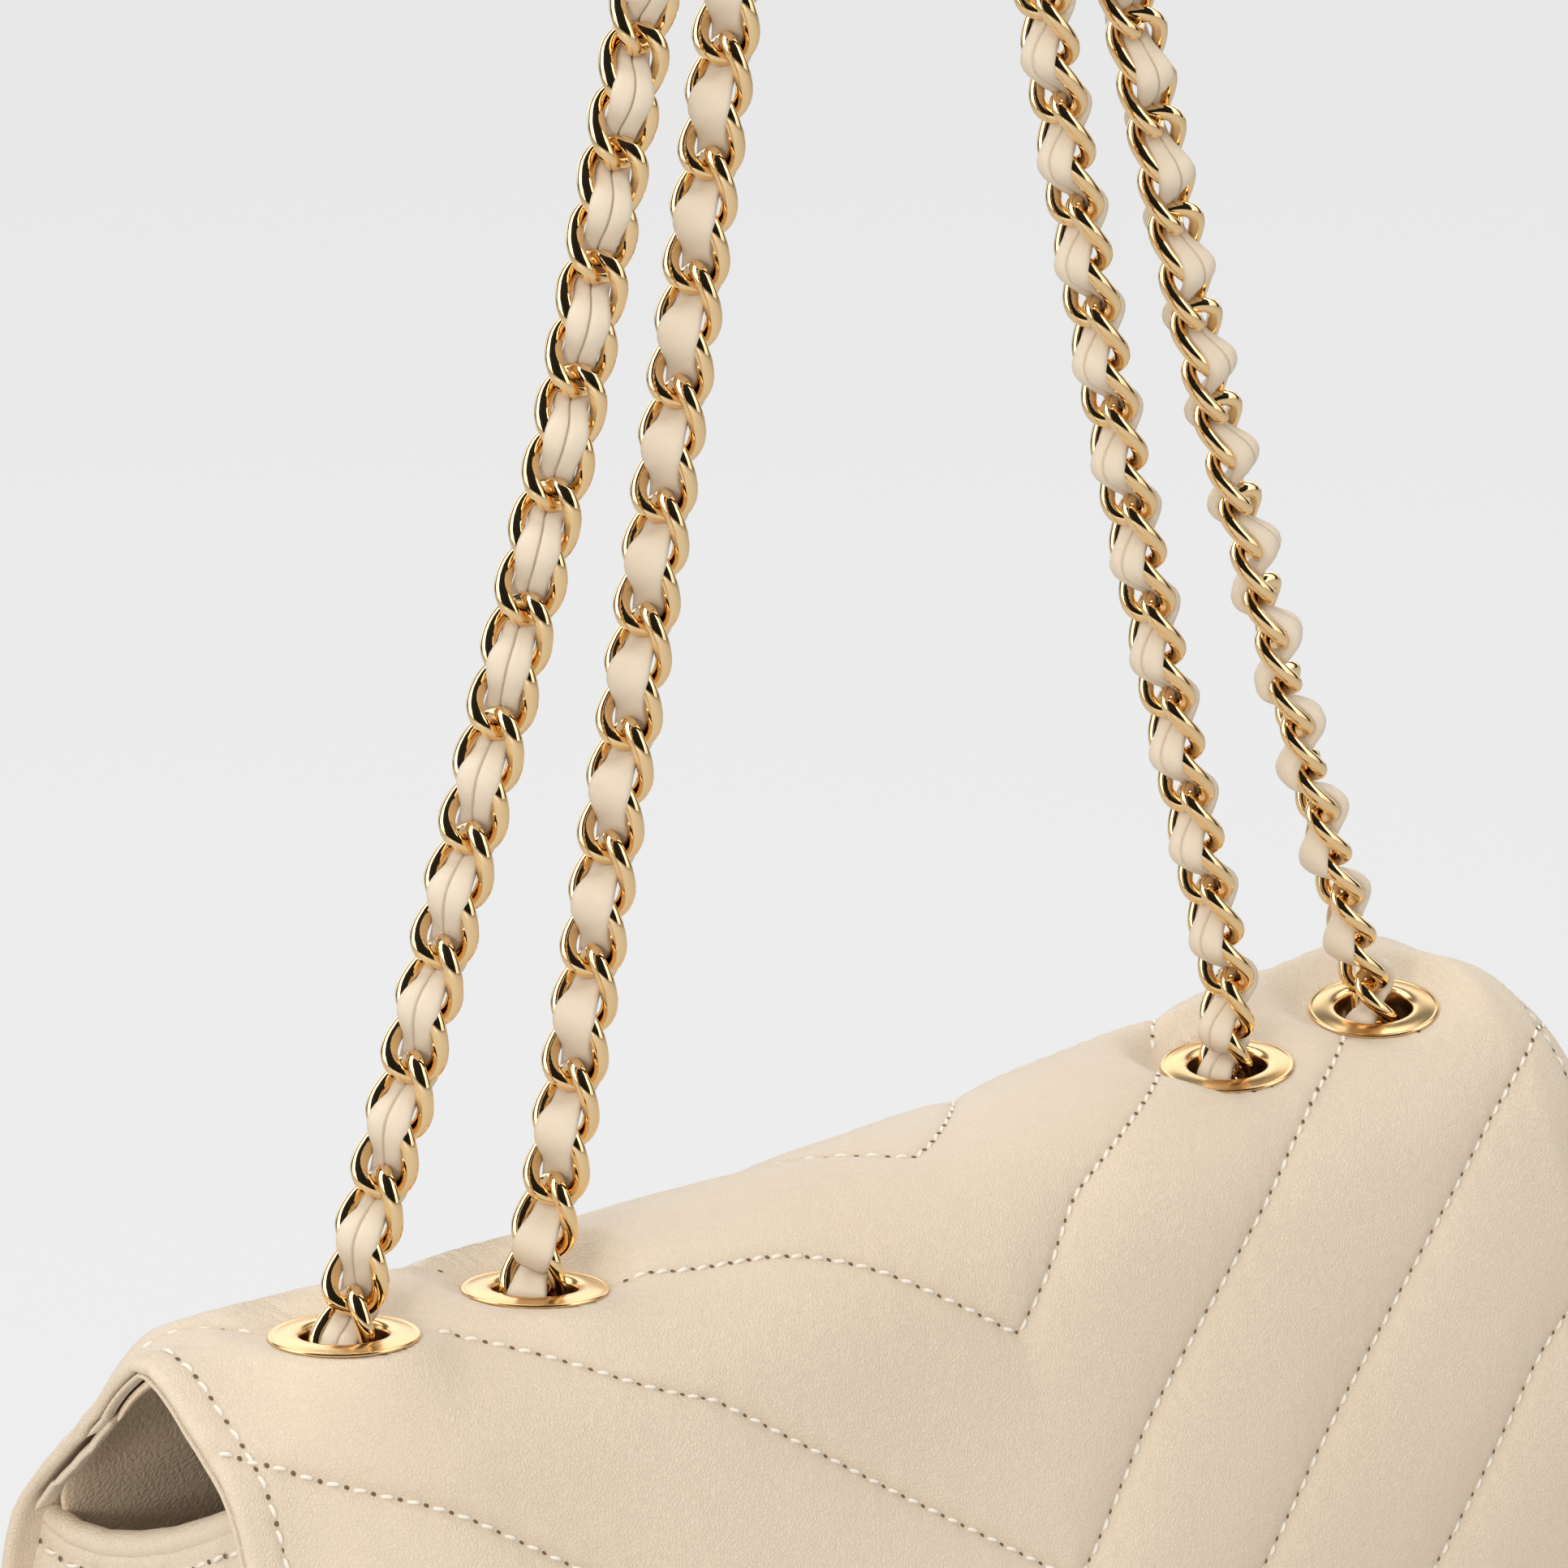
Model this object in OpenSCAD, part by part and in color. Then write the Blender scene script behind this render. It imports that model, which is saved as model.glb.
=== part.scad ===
// Chain shoulder bag: a quilted flap bag that hangs from a doubled chain laced
// with a leather ribbon. The origin is where a hook or a hand carries the strap,
// in the middle of the bag's length and depth. X runs along the bag, the flap
// faces -Y and Z points up. Lengths are in millimetres and angles in degrees.

/* [Bag body] */
// Length of the crown and the flap
bag_length = 270; // [240:1:300]
// Height from the base to the top of the crown
bag_h = 171; // [160:1:200]
// Radius of the crown over the top
crown_r = 27; // [26:0.5:30]
// Slope of the front and back below the crown, from upright
side_slope = 18.3; // [16:0.1:20]
// Straight stretch of the front and back below the crown
side_run = 36; // [30:1:40]
// Radius of the belly below that stretch
belly_r = 130; // [110:1:150]
// Radius of the bottom edges, front and back
base_r = 14; // [12:0.5:18]
// How far the crown and flap reach past each gusset
overhang = 4; // [3:0.5:6]
// Dip of the gusset's top edge between front and back
rim_dip = 4; // [2.5:0.5:5]

/* [Leather] */
// Thickness of the quilted back, crown and flap
skin_t = 3; // [2.6:0.1:3.4]
// Thickness of the front, gusset and base leather
panel_t = 2.2; // [1.8:0.1:2.6]
// Thickness of the body lining
lining_t = 1; // [0.8:0.1:1.2]
// Thickness of the flap's lining
flap_lining_t = 1.2; // [1:0.1:1.5]
// Thickness of the board in the base
board_t = 2; // [1.5:0.1:2.5]
// Thickness of the strip that backs the eyelets
strip_t = 1.4; // [1.2:0.1:1.6]
// Width of that strip
strip_w = 22; // [20:0.5:23]
// Radius of the rolled rims of the mouth
rim_r = 1.7; // [1.4:0.1:2]

/* [Flap] */
// Height of the flap from the top of the crown to its lower edge
flap_h = 139; // [130:1:145]
// Radius of the flap's lower corners
flap_corner_r = 28; // [20:1:36]
// Width of the binding round the flap's edge
bind_w = 2; // [1.5:0.1:3]
// How far that binding stands proud of the flap
bind_lip = 0.4; // [0.2:0.1:0.6]
// Air between the closed flap and the front panel
flap_gap = 0.5; // [0.4:0.1:0.8]
// Leather between the eyelets and the line where the flap folds
fold_margin = 3; // [2:0.5:4]

/* [Eyelets] */
// Outside diameter of an eyelet's flange
eyelet_d = 20; // [19:0.5:21]
// Diameter of the hole that the chain passes
eyelet_bore = 12; // [11.6:0.1:12.6]
// Thickness of the flange
flange_t = 1; // [0.8:0.1:1.2]
// Wall of the eyelet's barrel
barrel_t = 0.6; // [0.5:0.1:0.8]
// How far the eyelets sit in front of the crown's middle line
eyelet_y = 4; // [2:0.5:5]
// Distance of the outer eyelets from the crown's ends
eyelet_inset = 29.2; // [26:0.2:34]
// Distance between the outer and the inner eyelet of each side
eyelet_apart = 34.4; // [32:0.2:38]
// Outside diameter of the washers inside the crown
washer_d = 18.4; // [17:0.2:19]
// Thickness of those washers
washer_t = 0.8; // [0.6:0.1:1]

/* [Chain strap] */
// Height of the taut strap from the eyelet rims to where it is carried
strap_drop = 284; // [250:1:320]
// Spacing of the links
link_pitch = 7.6; // [7.5:0.1:7.8]
// Outside width of a link
link_w = 10.2; // [10:0.1:10.4]
// Diameter of the chain's wire
wire_d = 2.2; // [2:0.1:2.3]
// Play between two links
link_play = 0.6; // [0.5:0.05:0.7]
// Radius of the turn at the top of each loop
bow_r = 16; // [15:0.5:20]
// Sag of each leg of the strap
leg_sag = 2; // [0:0.5:3]
// Distance between the two loops at the top
loops_apart = 11.6; // [11:0.2:14]
// Height above the eyelet rims where the bag swings on the strap
pivot_rise = 12.3; // [11.8:0.1:13]
// Depth of the inside chain's straight ends
inside_drop = 22.5; // [21.5:0.1:23.5]
// Width of the leather ribbon laced through the links
ribbon_w = 2.2; // [2:0.1:2.3]
// Thickness of that ribbon
ribbon_t = 0.9; // [0.8:0.1:1]
// How far the ribbon weaves to each side
ribbon_wave = 4; // [3.9:0.1:4.4]

/* [Snap] */
// Height of the snap above the flap's lower edge
snap_rise = 20; // [17:1:28]
// Diameter of the snap's two faces
snap_d = 16; // [14:0.5:18]
// Diameter of the stud
snap_stud_d = 4.8; // [4:0.2:5.4]
// Length of the stud
snap_stud_l = 2; // [1.6:0.1:2.2]
// Diameter of the socket's hole
snap_bore_d = 6.6; // [6.2:0.2:7.4]
// Thickness of the stud's plate
snap_plate_t = 1.5; // [1.3:0.1:1.6]
// Thickness of the washers behind both faces
snap_washer_t = 0.6; // [0.4:0.1:0.7]

/* [Inside zip pocket] */
// Length of the pocket's zip
zip_l = 160; // [130:1:180]
// Height of the zip's tape
zip_tape_h = 20; // [18:1:24]
// Thickness of the tape
zip_tape_t = 0.8; // [0.6:0.1:1]
// Spacing of the teeth along the zip
tooth_pitch = 2.4; // [2.2:0.1:3]
// Height of one tooth
tooth_h = 3.2; // [2.8:0.1:3.6]
// Length of the slider
slider_l = 9; // [8:0.5:11]
// Thickness of the slider's plate and cheeks
slider_t = 1.2; // [1:0.1:1.4]
// Length of the puller
puller_l = 24; // [18:1:30]
// Width of the puller
puller_w = 5; // [4.6:0.2:6]
// Depth of the pocket under its zip
pouch_h = 42; // [36:1:43]
// Thickness of the flat pouch
pouch_t = 1.2; // [1:0.1:1.6]

/* [Hidden] */

// Colours
cream = [0.87, 0.80, 0.68];
greige = [0.60, 0.55, 0.47];
gold = [0.88, 0.70, 0.38];
card = [0.45, 0.40, 0.34];

// Facets of round outlines, of turned parts and of the chain
arc_steps = 10;
$fn = 48;
wire_fn = 16;
bow_fn = 24;

// One overrun for all cuts, and the gaps of parts that lie against each other
over = 1;
fit = 0.2;
seat_gap = 0.1;
fold_gap = 0.3;

// Heights of the main lines
rim_z = -strap_drop;
eyelet_a = asin(eyelet_y / crown_r);
seat_r = sqrt(pow(crown_r, 2) - pow(eyelet_d / 2, 2));
crown_z = rim_z - (seat_r + flange_t) * cos(eyelet_a);
crown_top = crown_z + crown_r;
base_z = crown_top - bag_h;
flap_z = crown_top - flap_h;

// The outer outline in the YZ plane, behind the middle: crown, belly and corner
shoulder_a = 90 - side_slope;
crown_c = [0, crown_z];
belly_from = on_arc(crown_c, crown_r, shoulder_a) + side_run * [cos(shoulder_a), -sin(shoulder_a)];
belly_c = belly_from - belly_r * [sin(shoulder_a), cos(shoulder_a)];
belly_y = belly_c[0] + belly_r;

// Depths below that outline, and the lengths of the nested layers
front_in = skin_t + flap_lining_t + flap_gap;
front_face_y = -(belly_y - front_in);
body_l = bag_length - 2 * overhang;
inner_l = body_l - 2 * panel_t;
lined_l = inner_l - 2 * lining_t;

// The fold of the flap
fold_a = eyelet_a + asin(eyelet_d / 2 / crown_r) + fold_margin / crown_r * 180 / PI;
fold_gap_a = fold_gap / crown_r * 180 / PI;

// The mouth's rims
front_rim = on_front(on_arc(crown_c, crown_r - front_in - panel_t, shoulder_a));
back_rim = on_arc(crown_c, crown_r - skin_t, shoulder_a);
rim_chord = norm(back_rim - front_rim);
rim_bend_r = (pow(rim_chord / 2, 2) + pow(rim_dip, 2)) / (2 * rim_dip);
rim_tilt = atan2(back_rim[1] - front_rim[1], back_rim[0] - front_rim[0]);
rim_c = (front_rim + back_rim) / 2 + (rim_bend_r - rim_dip) * [-sin(rim_tilt), cos(rim_tilt)];
rim_half_a = asin((rim_chord / 2 - 2 * rim_r) / rim_bend_r);

// Eyelet strip, washer and barrel, as distances from the crown's centre line
strip_r = crown_r - skin_t - lining_t - strip_t;
washer_r = sqrt(pow(strip_r, 2) - pow(washer_d / 2, 2)) - washer_t - fit;
barrel_r = eyelet_bore / 2 + barrel_t;
barrel_end_r = washer_r - seat_gap;
flange_round = flange_t * 0.4;

// Eyelets and chain
eyelet_outer_x = bag_length / 2 - eyelet_inset;
eyelet_inner_x = eyelet_outer_x - eyelet_apart;
inside_mid_x = eyelet_outer_x - eyelet_apart / 2;
inside_r = eyelet_apart / 2;
chain_y = -(seat_r + flange_t / 2) * sin(eyelet_a) + flange_t / 4;
start_z = rim_z + pivot_rise;
bow_z = link_w / 2 - bow_r;
bend_r = (link_w - wire_d) / 2;
roll_links = 4;
ribbon_rings = 4;

// Zip
zip_z = belly_c[1] - zip_tape_h / 2;
lined_back_y = belly_y - skin_t - lining_t;
tape_y = lined_back_y - zip_tape_t;
tooth_l = tooth_pitch * 0.7;
tooth_t = slider_t;
slider_y = tape_y - tooth_t - fit;
slider_h = tooth_h * 1.5 + 2 * (slider_t + fit);
pouch_drop = min(pouch_h, zip_z - zip_tape_h / 2 - base_z - base_r - seat_gap);
pin_d = slider_t;
puller_y = slider_y - slider_t - pin_d - fit;
zip_play = 2 * slider_l;

// Outline helpers: a point on an arc counted from straight up, towards +Y
function on_arc(c, r, a) = [c[0] + r * sin(a), c[1] + r * cos(a)];
function on_front(p) = [-p[0], p[1]];
function all_front(points) = [for (p = points) on_front(p)];
function arc(c, r, a0, a1) = [for (i = [0:arc_steps]) on_arc(c, r, a0 + (a1 - a0) * i / arc_steps)];
function backwards(points) = [for (i = [len(points) - 1:-1:0]) points[i]];

// The crown and back, at a depth under the outer face, from an angle on the crown
function back_path(depth, from_a) = concat(
    arc(crown_c, crown_r - depth, from_a, shoulder_a),
    arc(belly_c, belly_r - depth, shoulder_a, 90),
    arc([belly_y - base_r, base_z + base_r], base_r - depth, 90, 180)
);

// The front below its rim, at a depth under the outer face
function front_path(depth) = all_front(concat(
    [on_arc(crown_c, crown_r - depth, shoulder_a)],
    arc(belly_c, belly_r - depth, shoulder_a, 90),
    arc([-front_face_y - base_r, base_z + base_r], base_r - (depth - front_in), 90, 180)
));

// The flap, at a depth under the outer face
function flap_path(depth) = all_front(concat(
    arc(crown_c, crown_r - depth, fold_a + fold_gap_a, shoulder_a),
    arc(belly_c, belly_r - depth, shoulder_a, 90),
    [[belly_y - depth, flap_z]]
));

// A layer between two paths, and an outline in YZ drawn along X
module layer(l, outer, inner) {
    along(l) polygon(concat(outer, backwards(inner)));
}
module along(l) {
    rotate([90, 0, 90]) linear_extrude(l, center = true) children();
}

// Something on an eyelet's axis, which stands square to the crown
module at_eyelet(x) {
    translate([x, 0, crown_z]) rotate([eyelet_a, 0, 0]) children();
}
module at_eyelets() {
    for (x = [-eyelet_outer_x, -eyelet_inner_x, eyelet_inner_x, eyelet_outer_x]) {
        at_eyelet(x) children();
    }
}

// A disc that faces along Y, from one depth to another
module disc(d, y0, y1, z) {
    translate([0, y1, z]) rotate([90, 0, 0]) cylinder(h = y1 - y0, d = d);
}

// Back panel, which runs on over the crown to the fold. Below the mouth it is
// drawn in to the gussets.
module back_panel() color(cream) difference() {
    layer(bag_length, back_path(0, -fold_a), back_path(skin_t, -fold_a));
    for (s = [-1, 1]) translate([s * (body_l + bag_length) / 2, 0, back_rim[1] - bag_h]) {
        cube([bag_length, 3 * belly_y, 2 * bag_h], center = true);
    }
    at_eyelets() {
        translate([0, 0, seat_r]) cylinder(h = crown_r, d = eyelet_d + 2 * fit);
        cylinder(h = crown_r, r = barrel_r + fit);
    }
}

module back_lining() color(greige) difference() {
    layer(lined_l, back_path(skin_t, -fold_a), back_path(skin_t + lining_t, -fold_a));
    at_eyelets() cylinder(h = crown_r, r = barrel_r + fit);
}

// Strip sewn under the crown, which the eyelets clamp
module eyelet_strip() color(greige) difference() {
    intersection() {
        layer(
            lined_l - 2 * overhang,
            back_path(skin_t + lining_t, -fold_a),
            back_path(skin_t + lining_t + strip_t, -fold_a)
        );
        at_eyelet(0) translate([-bag_length / 2, -strip_w / 2, 0]) cube([bag_length, strip_w, crown_r]);
    }
    at_eyelets() cylinder(h = crown_r, r = barrel_r + fit);
}

module front_panel() color(cream) difference() {
    layer(body_l, front_path(front_in), front_path(front_in + panel_t));
    disc(snap_d + 2 * fit, front_face_y - over, front_face_y + panel_t + over, flap_z + snap_rise);
}

module front_lining() color(greige) difference() {
    y0 = front_face_y + panel_t;
    layer(lined_l, front_path(front_in + panel_t), front_path(front_in + panel_t + lining_t));
    disc(snap_d + panel_t + 2 * fit, y0 - over, y0 + snap_washer_t, flap_z + snap_rise);
}

// The gusset fills the end between the front and the back
module end_panel(side, x, t) {
    translate([side * (x - t / 2), 0, 0]) difference() {
        along(t) polygon(concat(
            front_path(front_in + panel_t),
            backwards(concat(
                [back_rim],
                arc(belly_c, belly_r - skin_t, shoulder_a, 90),
                arc([belly_y - base_r, base_z + base_r], base_r - skin_t, 90, 180)
            ))
        ));
        translate([0, rim_c[0], rim_c[1]]) rotate([0, 90, 0]) {
            cylinder(h = 2 * t, r = rim_bend_r + rim_r + seat_gap, center = true, $fn = 180);
        }
    }
}
module left_gusset() color(cream) end_panel(-1, body_l / 2, panel_t);
module right_gusset() color(cream) end_panel(1, body_l / 2, panel_t);
module left_gusset_lining() color(greige) end_panel(-1, inner_l / 2, lining_t);
module right_gusset_lining() color(greige) end_panel(1, inner_l / 2, lining_t);

// Flat layers of the base, between the bottom edges
module base_layer(l, z, t) {
    y0 = front_face_y + base_r;
    y1 = belly_y - base_r;
    translate([-l / 2, y0, base_z + z]) cube([l, y1 - y0, t]);
}
module base_panel() color(cream) base_layer(body_l, 0, panel_t);
module base_board() color(card) base_layer(lined_l, panel_t, board_t);
module base_lining() color(greige) base_layer(lined_l, panel_t + board_t, lining_t);

// Rolled rims of the mouth
module rim_roll(side) {
    translate([side * (body_l / 2 - panel_t / 2), rim_c[0], rim_c[1]]) {
        rotate([rim_tilt, 0, 0]) rotate([0, 90, 0]) rotate([0, 0, -rim_half_a]) {
            rotate_extrude(angle = 2 * rim_half_a, $fn = 180) {
                translate([rim_bend_r, 0]) circle(r = rim_r, $fn = 24);
            }
        }
    }
}
module left_rim_roll() color(cream) rim_roll(-1);
module right_rim_roll() color(cream) rim_roll(1);
module front_rim_roll() color(cream) {
    foot = on_arc(crown_c, crown_r - front_in - rim_r, shoulder_a);
    c = on_front(foot + (rim_r + seat_gap) * [-cos(shoulder_a), sin(shoulder_a)]);
    translate([0, c[0], c[1]]) rotate([0, 90, 0]) cylinder(h = inner_l, r = rim_r, center = true);
}

// A turned eyelet: a flange with a rounded edge on a straight barrel
module eyelet() {
    r0 = eyelet_bore / 2;
    top = seat_r + flange_t;
    rotate_extrude() polygon([
        [r0, barrel_end_r], [barrel_r, barrel_end_r], [barrel_r, seat_r],
        [eyelet_d / 2, seat_r], [eyelet_d / 2, top - 2 * flange_round],
        [eyelet_d / 2 - flange_round, top - flange_round / 2],
        [barrel_r + flange_round, top], [barrel_r - flange_round / 2, top - flange_round / 2],
        [r0, top - 2 * flange_round]
    ]);
}
module eyelet_outer_left() color(gold) at_eyelet(-eyelet_outer_x) eyelet();
module eyelet_inner_left() color(gold) at_eyelet(-eyelet_inner_x) eyelet();
module eyelet_inner_right() color(gold) at_eyelet(eyelet_inner_x) eyelet();
module eyelet_outer_right() color(gold) at_eyelet(eyelet_outer_x) eyelet();
module eyelet_washers() color(gold) at_eyelets() {
    translate([0, 0, washer_r]) difference() {
        cylinder(h = washer_t, d = washer_d);
        translate([0, 0, -over]) cylinder(h = washer_t + 2 * over, r = barrel_r + fit);
    }
}

// One link in the XZ plane, long along Z
module link(pitch) {
    half = (pitch + link_play + wire_d) / 2 - bend_r;
    for (s = [-1, 1]) {
        translate([0, 0, s * half]) rotate([s * 90, 0, 0]) {
            rotate_extrude(angle = 180, $fn = bow_fn) {
                translate([bend_r, 0]) circle(d = wire_d, $fn = wire_fn);
            }
        }
        translate([s * bend_r, 0, -half]) cylinder(h = 2 * half, d = wire_d, $fn = wire_fn);
    }
}

// A loop of the strap starts over one eyelet, climbs, turns at the top and comes
// down over the other. These give its size from the eyelets' x and the top's y.
function climb(top_y) = norm([bow_z - start_z, top_y - chain_y]);
function lean(x, top_y) = atan(x / climb(top_y)) - asin(bow_r / norm([x, climb(top_y)]));
function leg(x, top_y) = sqrt(pow(x, 2) + pow(climb(top_y), 2) - pow(bow_r, 2));
function bow(x, top_y) = bow_r * (180 - 2 * lean(x, top_y)) * PI / 180;
function loop_l(x, top_y) = 2 * leg(x, top_y) + bow(x, top_y);
function odd_count(l) = 2 * round((l / link_pitch - 1) / 2) + 1;

// Place on the loop at a length s along it: [across, up, angle from straight up]
function leg_at(x, top_y, s) =
    let (
        a = lean(x, top_y),
        share = s / leg(x, top_y),
        off = 4 * leg_sag * share * (1 - share),
        bend = atan(4 * leg_sag / leg(x, top_y) * (1 - 2 * share))
    )
    [-x + s * sin(a) + off * cos(a), s * cos(a) - off * sin(a), a + bend];
function bow_at(x, top_y, s) =
    let (a = lean(x, top_y) + (s - leg(x, top_y)) / bow_r * 180 / PI)
    [-bow_r * cos(a), climb(top_y) + bow_r * sin(a), a];
function loop_at(x, top_y, s) =
    let (l = loop_l(x, top_y), far = leg_at(x, top_y, l - s))
    s < leg(x, top_y) ? leg_at(x, top_y, s)
    : s < leg(x, top_y) + bow(x, top_y) ? bow_at(x, top_y, s)
    : [-far[0], far[1], 180 - far[2]];

// The chain inside the crown: down one eyelet, round a half turn and up the next
function inside_l() = 2 * inside_drop + PI * inside_r;
function inside_at(s) =
    let (a = (s - inside_drop) / inside_r * 180 / PI)
    s < inside_drop ? [-inside_r, -s, 180]
    : a < 180 ? [-inside_r * cos(a), -inside_drop - inside_r * sin(a), 180 - a]
    : [inside_r, s - inside_l(), 0];

// Links stand at 45 degrees to either side, and turn square to the pivots
function rolled(share) = min(1, share / roll_links);
function loop_roll(k, count) = 45 * rolled(min(k, count - 1 - k));

module on_loop(top_y) {
    tilt = -asin((top_y - chain_y) / climb(top_y));
    translate([0, chain_y, start_z]) rotate([tilt, 0, 0]) children();
}
module loop_links(x, top_y, first_share, last_share) {
    count = odd_count(loop_l(x, top_y));
    pitch = loop_l(x, top_y) / count;
    middle = (count - 1) / 2;
    on_loop(top_y) for (k = [ceil(count * first_share):ceil(count * last_share) - 1]) {
        p = loop_at(x, top_y, (k + 0.5) * pitch);
        translate([p[0], 0, p[1]]) rotate([0, p[2], 0]) {
            rotate([0, 0, 90 * (k % 2) + loop_roll(k, count)]) link(pitch);
        }
    }
}
outer_top_y = -loops_apart / 2;
inner_top_y = loops_apart / 2;
module chain_outer_left() color(gold) loop_links(eyelet_outer_x, outer_top_y, 0, 0.5);
module chain_outer_right() color(gold) loop_links(eyelet_outer_x, outer_top_y, 0.5, 1);
module chain_inner_left() color(gold) loop_links(eyelet_inner_x, inner_top_y, 0, 0.5);
module chain_inner_right() color(gold) loop_links(eyelet_inner_x, inner_top_y, 0.5, 1);

module inside_links(side) {
    count = odd_count(inside_l());
    pitch = inside_l() / count;
    translate([side * inside_mid_x, chain_y, start_z]) for (k = [0:count - 1]) {
        p = inside_at((k + 0.5) * pitch);
        translate([p[0], 0, p[1]]) rotate([0, p[2], 0]) {
            rotate([0, 0, 90 * ((k + 1) % 2)]) link(pitch);
        }
    }
}
module inside_chain_left() color(gold) inside_links(-1);
module inside_chain_right() color(gold) inside_links(1);

// The ribbon: a flat section swept along the chain, over every second joint on
// each side. A ring is the section at one place, turned with the links there.
function ring(p, roll, wave) =
    let (
        across = [cos(p[2]), 0, -sin(p[2])],
        depth = [0, 1, 0],
        u = across * cos(roll) + depth * sin(roll),
        v = depth * cos(roll) - across * sin(roll),
        c = [p[0], 0, p[1]] + v * wave
    )
    [for (q = [[-1, -1], [1, -1], [1, 1], [-1, 1]]) c + u * q[0] * ribbon_w / 2 + v * q[1] * ribbon_t / 2];
module sweep(rings) {
    n = len(rings);
    points = [for (r = rings) each r];
    sides = [for (i = [0:n - 2], j = [0:3], half = [0, 1])
        let (a = 4 * i + j, b = 4 * i + (j + 1) % 4)
        half == 0 ? [a, b, b + 4] : [a, b + 4, a + 4]];
    ends = [[2, 1, 0], [3, 2, 0], [4 * n - 4, 4 * n - 3, 4 * n - 2], [4 * n - 4, 4 * n - 2, 4 * n - 1]];
    polyhedron(points, concat(sides, ends));
}
module loop_ribbon(x, top_y) {
    l = loop_l(x, top_y);
    count = odd_count(l);
    pitch = l / count;
    steps = count * ribbon_rings;
    trim = ribbon_rings / 2;
    on_loop(top_y) sweep([for (i = [trim:steps - trim])
        let (s = i * l / steps, k = s / pitch - 0.5)
        ring(loop_at(x, top_y, s), loop_roll(k, count) - 45, ribbon_wave * cos(180 * s / pitch))]);
}
module ribbon_outer() color(cream) loop_ribbon(eyelet_outer_x, outer_top_y);
module ribbon_inner() color(cream) loop_ribbon(eyelet_inner_x, inner_top_y);
module inside_ribbon(side) {
    l = inside_l();
    count = odd_count(l);
    pitch = l / count;
    steps = count * ribbon_rings;
    trim = ribbon_rings / 2;
    translate([side * inside_mid_x, chain_y, start_z]) sweep([for (i = [trim:steps - trim])
        let (s = i * l / steps)
        ring(inside_at(s), -45, ribbon_wave * cos(180 * s / pitch))]);
}
module inside_ribbon_left() color(cream) inside_ribbon(-1);
module inside_ribbon_right() color(cream) inside_ribbon(1);

// The flap's outline from the front, drawn in by an inset, as a solid along Y
module flap_outline(inset) {
    r = flap_corner_r - inset;
    x = bag_length / 2 - flap_corner_r;
    z = flap_z + flap_corner_r;
    right = concat([[bag_length / 2 - inset, crown_top + over]], [
        for (i = [0:arc_steps])
        [x + r * cos(90 * i / arc_steps), z - r * sin(90 * i / arc_steps)]
    ]);
    rotate([90, 0, 0]) linear_extrude(3 * belly_y, center = true) {
        polygon(concat(right, backwards([for (p = right) [-p[0], p[1]]])));
    }
}
module flap_layer(depth, t) {
    intersection() {
        layer(bag_length, flap_path(depth), flap_path(depth + t));
        flap_outline(bind_w);
    }
}
module flap_outer() color(cream) difference() {
    flap_layer(0, skin_t);
    y = -(belly_y - skin_t);
    disc(
        snap_d + panel_t + 2 * fit,
        y - snap_plate_t + flap_lining_t - snap_washer_t, y + over, flap_z + snap_rise
    );
}
module flap_lining() color(greige) difference() {
    flap_layer(skin_t, flap_lining_t);
    y = -(belly_y - skin_t);
    disc(snap_d + 2 * fit, y - over, y + flap_lining_t + over, flap_z + snap_rise);
}
module flap_binding() color(cream) difference() {
    intersection() {
        layer(bag_length, flap_path(-bind_lip), flap_path(skin_t + flap_lining_t));
        flap_outline(0);
    }
    flap_outline(bind_w);
}

// Hidden snap: a stud on the flap's lining drops into a socket in the front
module snap_stud() color(gold) {
    y = -(belly_y - skin_t - flap_lining_t);
    disc(snap_d, y - snap_plate_t, y, flap_z + snap_rise);
    disc(snap_stud_d, y, y + snap_stud_l, flap_z + snap_rise);
}
module snap_stud_washer() color(gold) {
    y = -(belly_y - skin_t - flap_lining_t) - snap_plate_t;
    disc(snap_d + panel_t, y - snap_washer_t, y, flap_z + snap_rise);
}
module snap_socket() color(gold) difference() {
    disc(snap_d, front_face_y, front_face_y + panel_t, flap_z + snap_rise);
    disc(snap_bore_d, front_face_y - over, front_face_y + panel_t + over, flap_z + snap_rise);
}
module snap_socket_washer() color(gold) {
    y = front_face_y + panel_t;
    disc(snap_d + panel_t, y, y + snap_washer_t, flap_z + snap_rise);
}

// Zip pocket on the back lining: a flat pouch, its tape, teeth, stops, slider
// and puller. The slider stands at the left end, where the zip is closed.
module pocket_pouch() color(greige) {
    z = zip_z - zip_tape_h / 2 - pouch_drop;
    translate([-zip_l / 2, lined_back_y - pouch_t, z]) cube([zip_l, pouch_t, pouch_drop]);
}
module zip_tape() color(card) {
    translate([-zip_l / 2, tape_y, zip_z - zip_tape_h / 2]) cube([zip_l, zip_tape_t, zip_tape_h]);
}
module zip_teeth() color(gold) {
    count = floor((zip_l - zip_play) / tooth_pitch);
    for (i = [0:count - 1]) {
        x = (i - (count - 1) / 2) * tooth_pitch;
        z = zip_z + (i % 2 == 0 ? 1 : -1) * tooth_h / 4;
        translate([x - tooth_l / 2, tape_y - tooth_t, z - tooth_h / 2]) cube([tooth_l, tooth_t, tooth_h]);
    }
}
module zip_stops() color(gold) for (s = [-1, 1]) {
    x = s * (zip_l / 2 - slider_t);
    translate([x - slider_t / 2, tape_y - tooth_t, zip_z - tooth_h]) cube([slider_t, tooth_t, 2 * tooth_h]);
}
slider_x = -(zip_l / 2 - slider_t) + slider_l;
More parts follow.
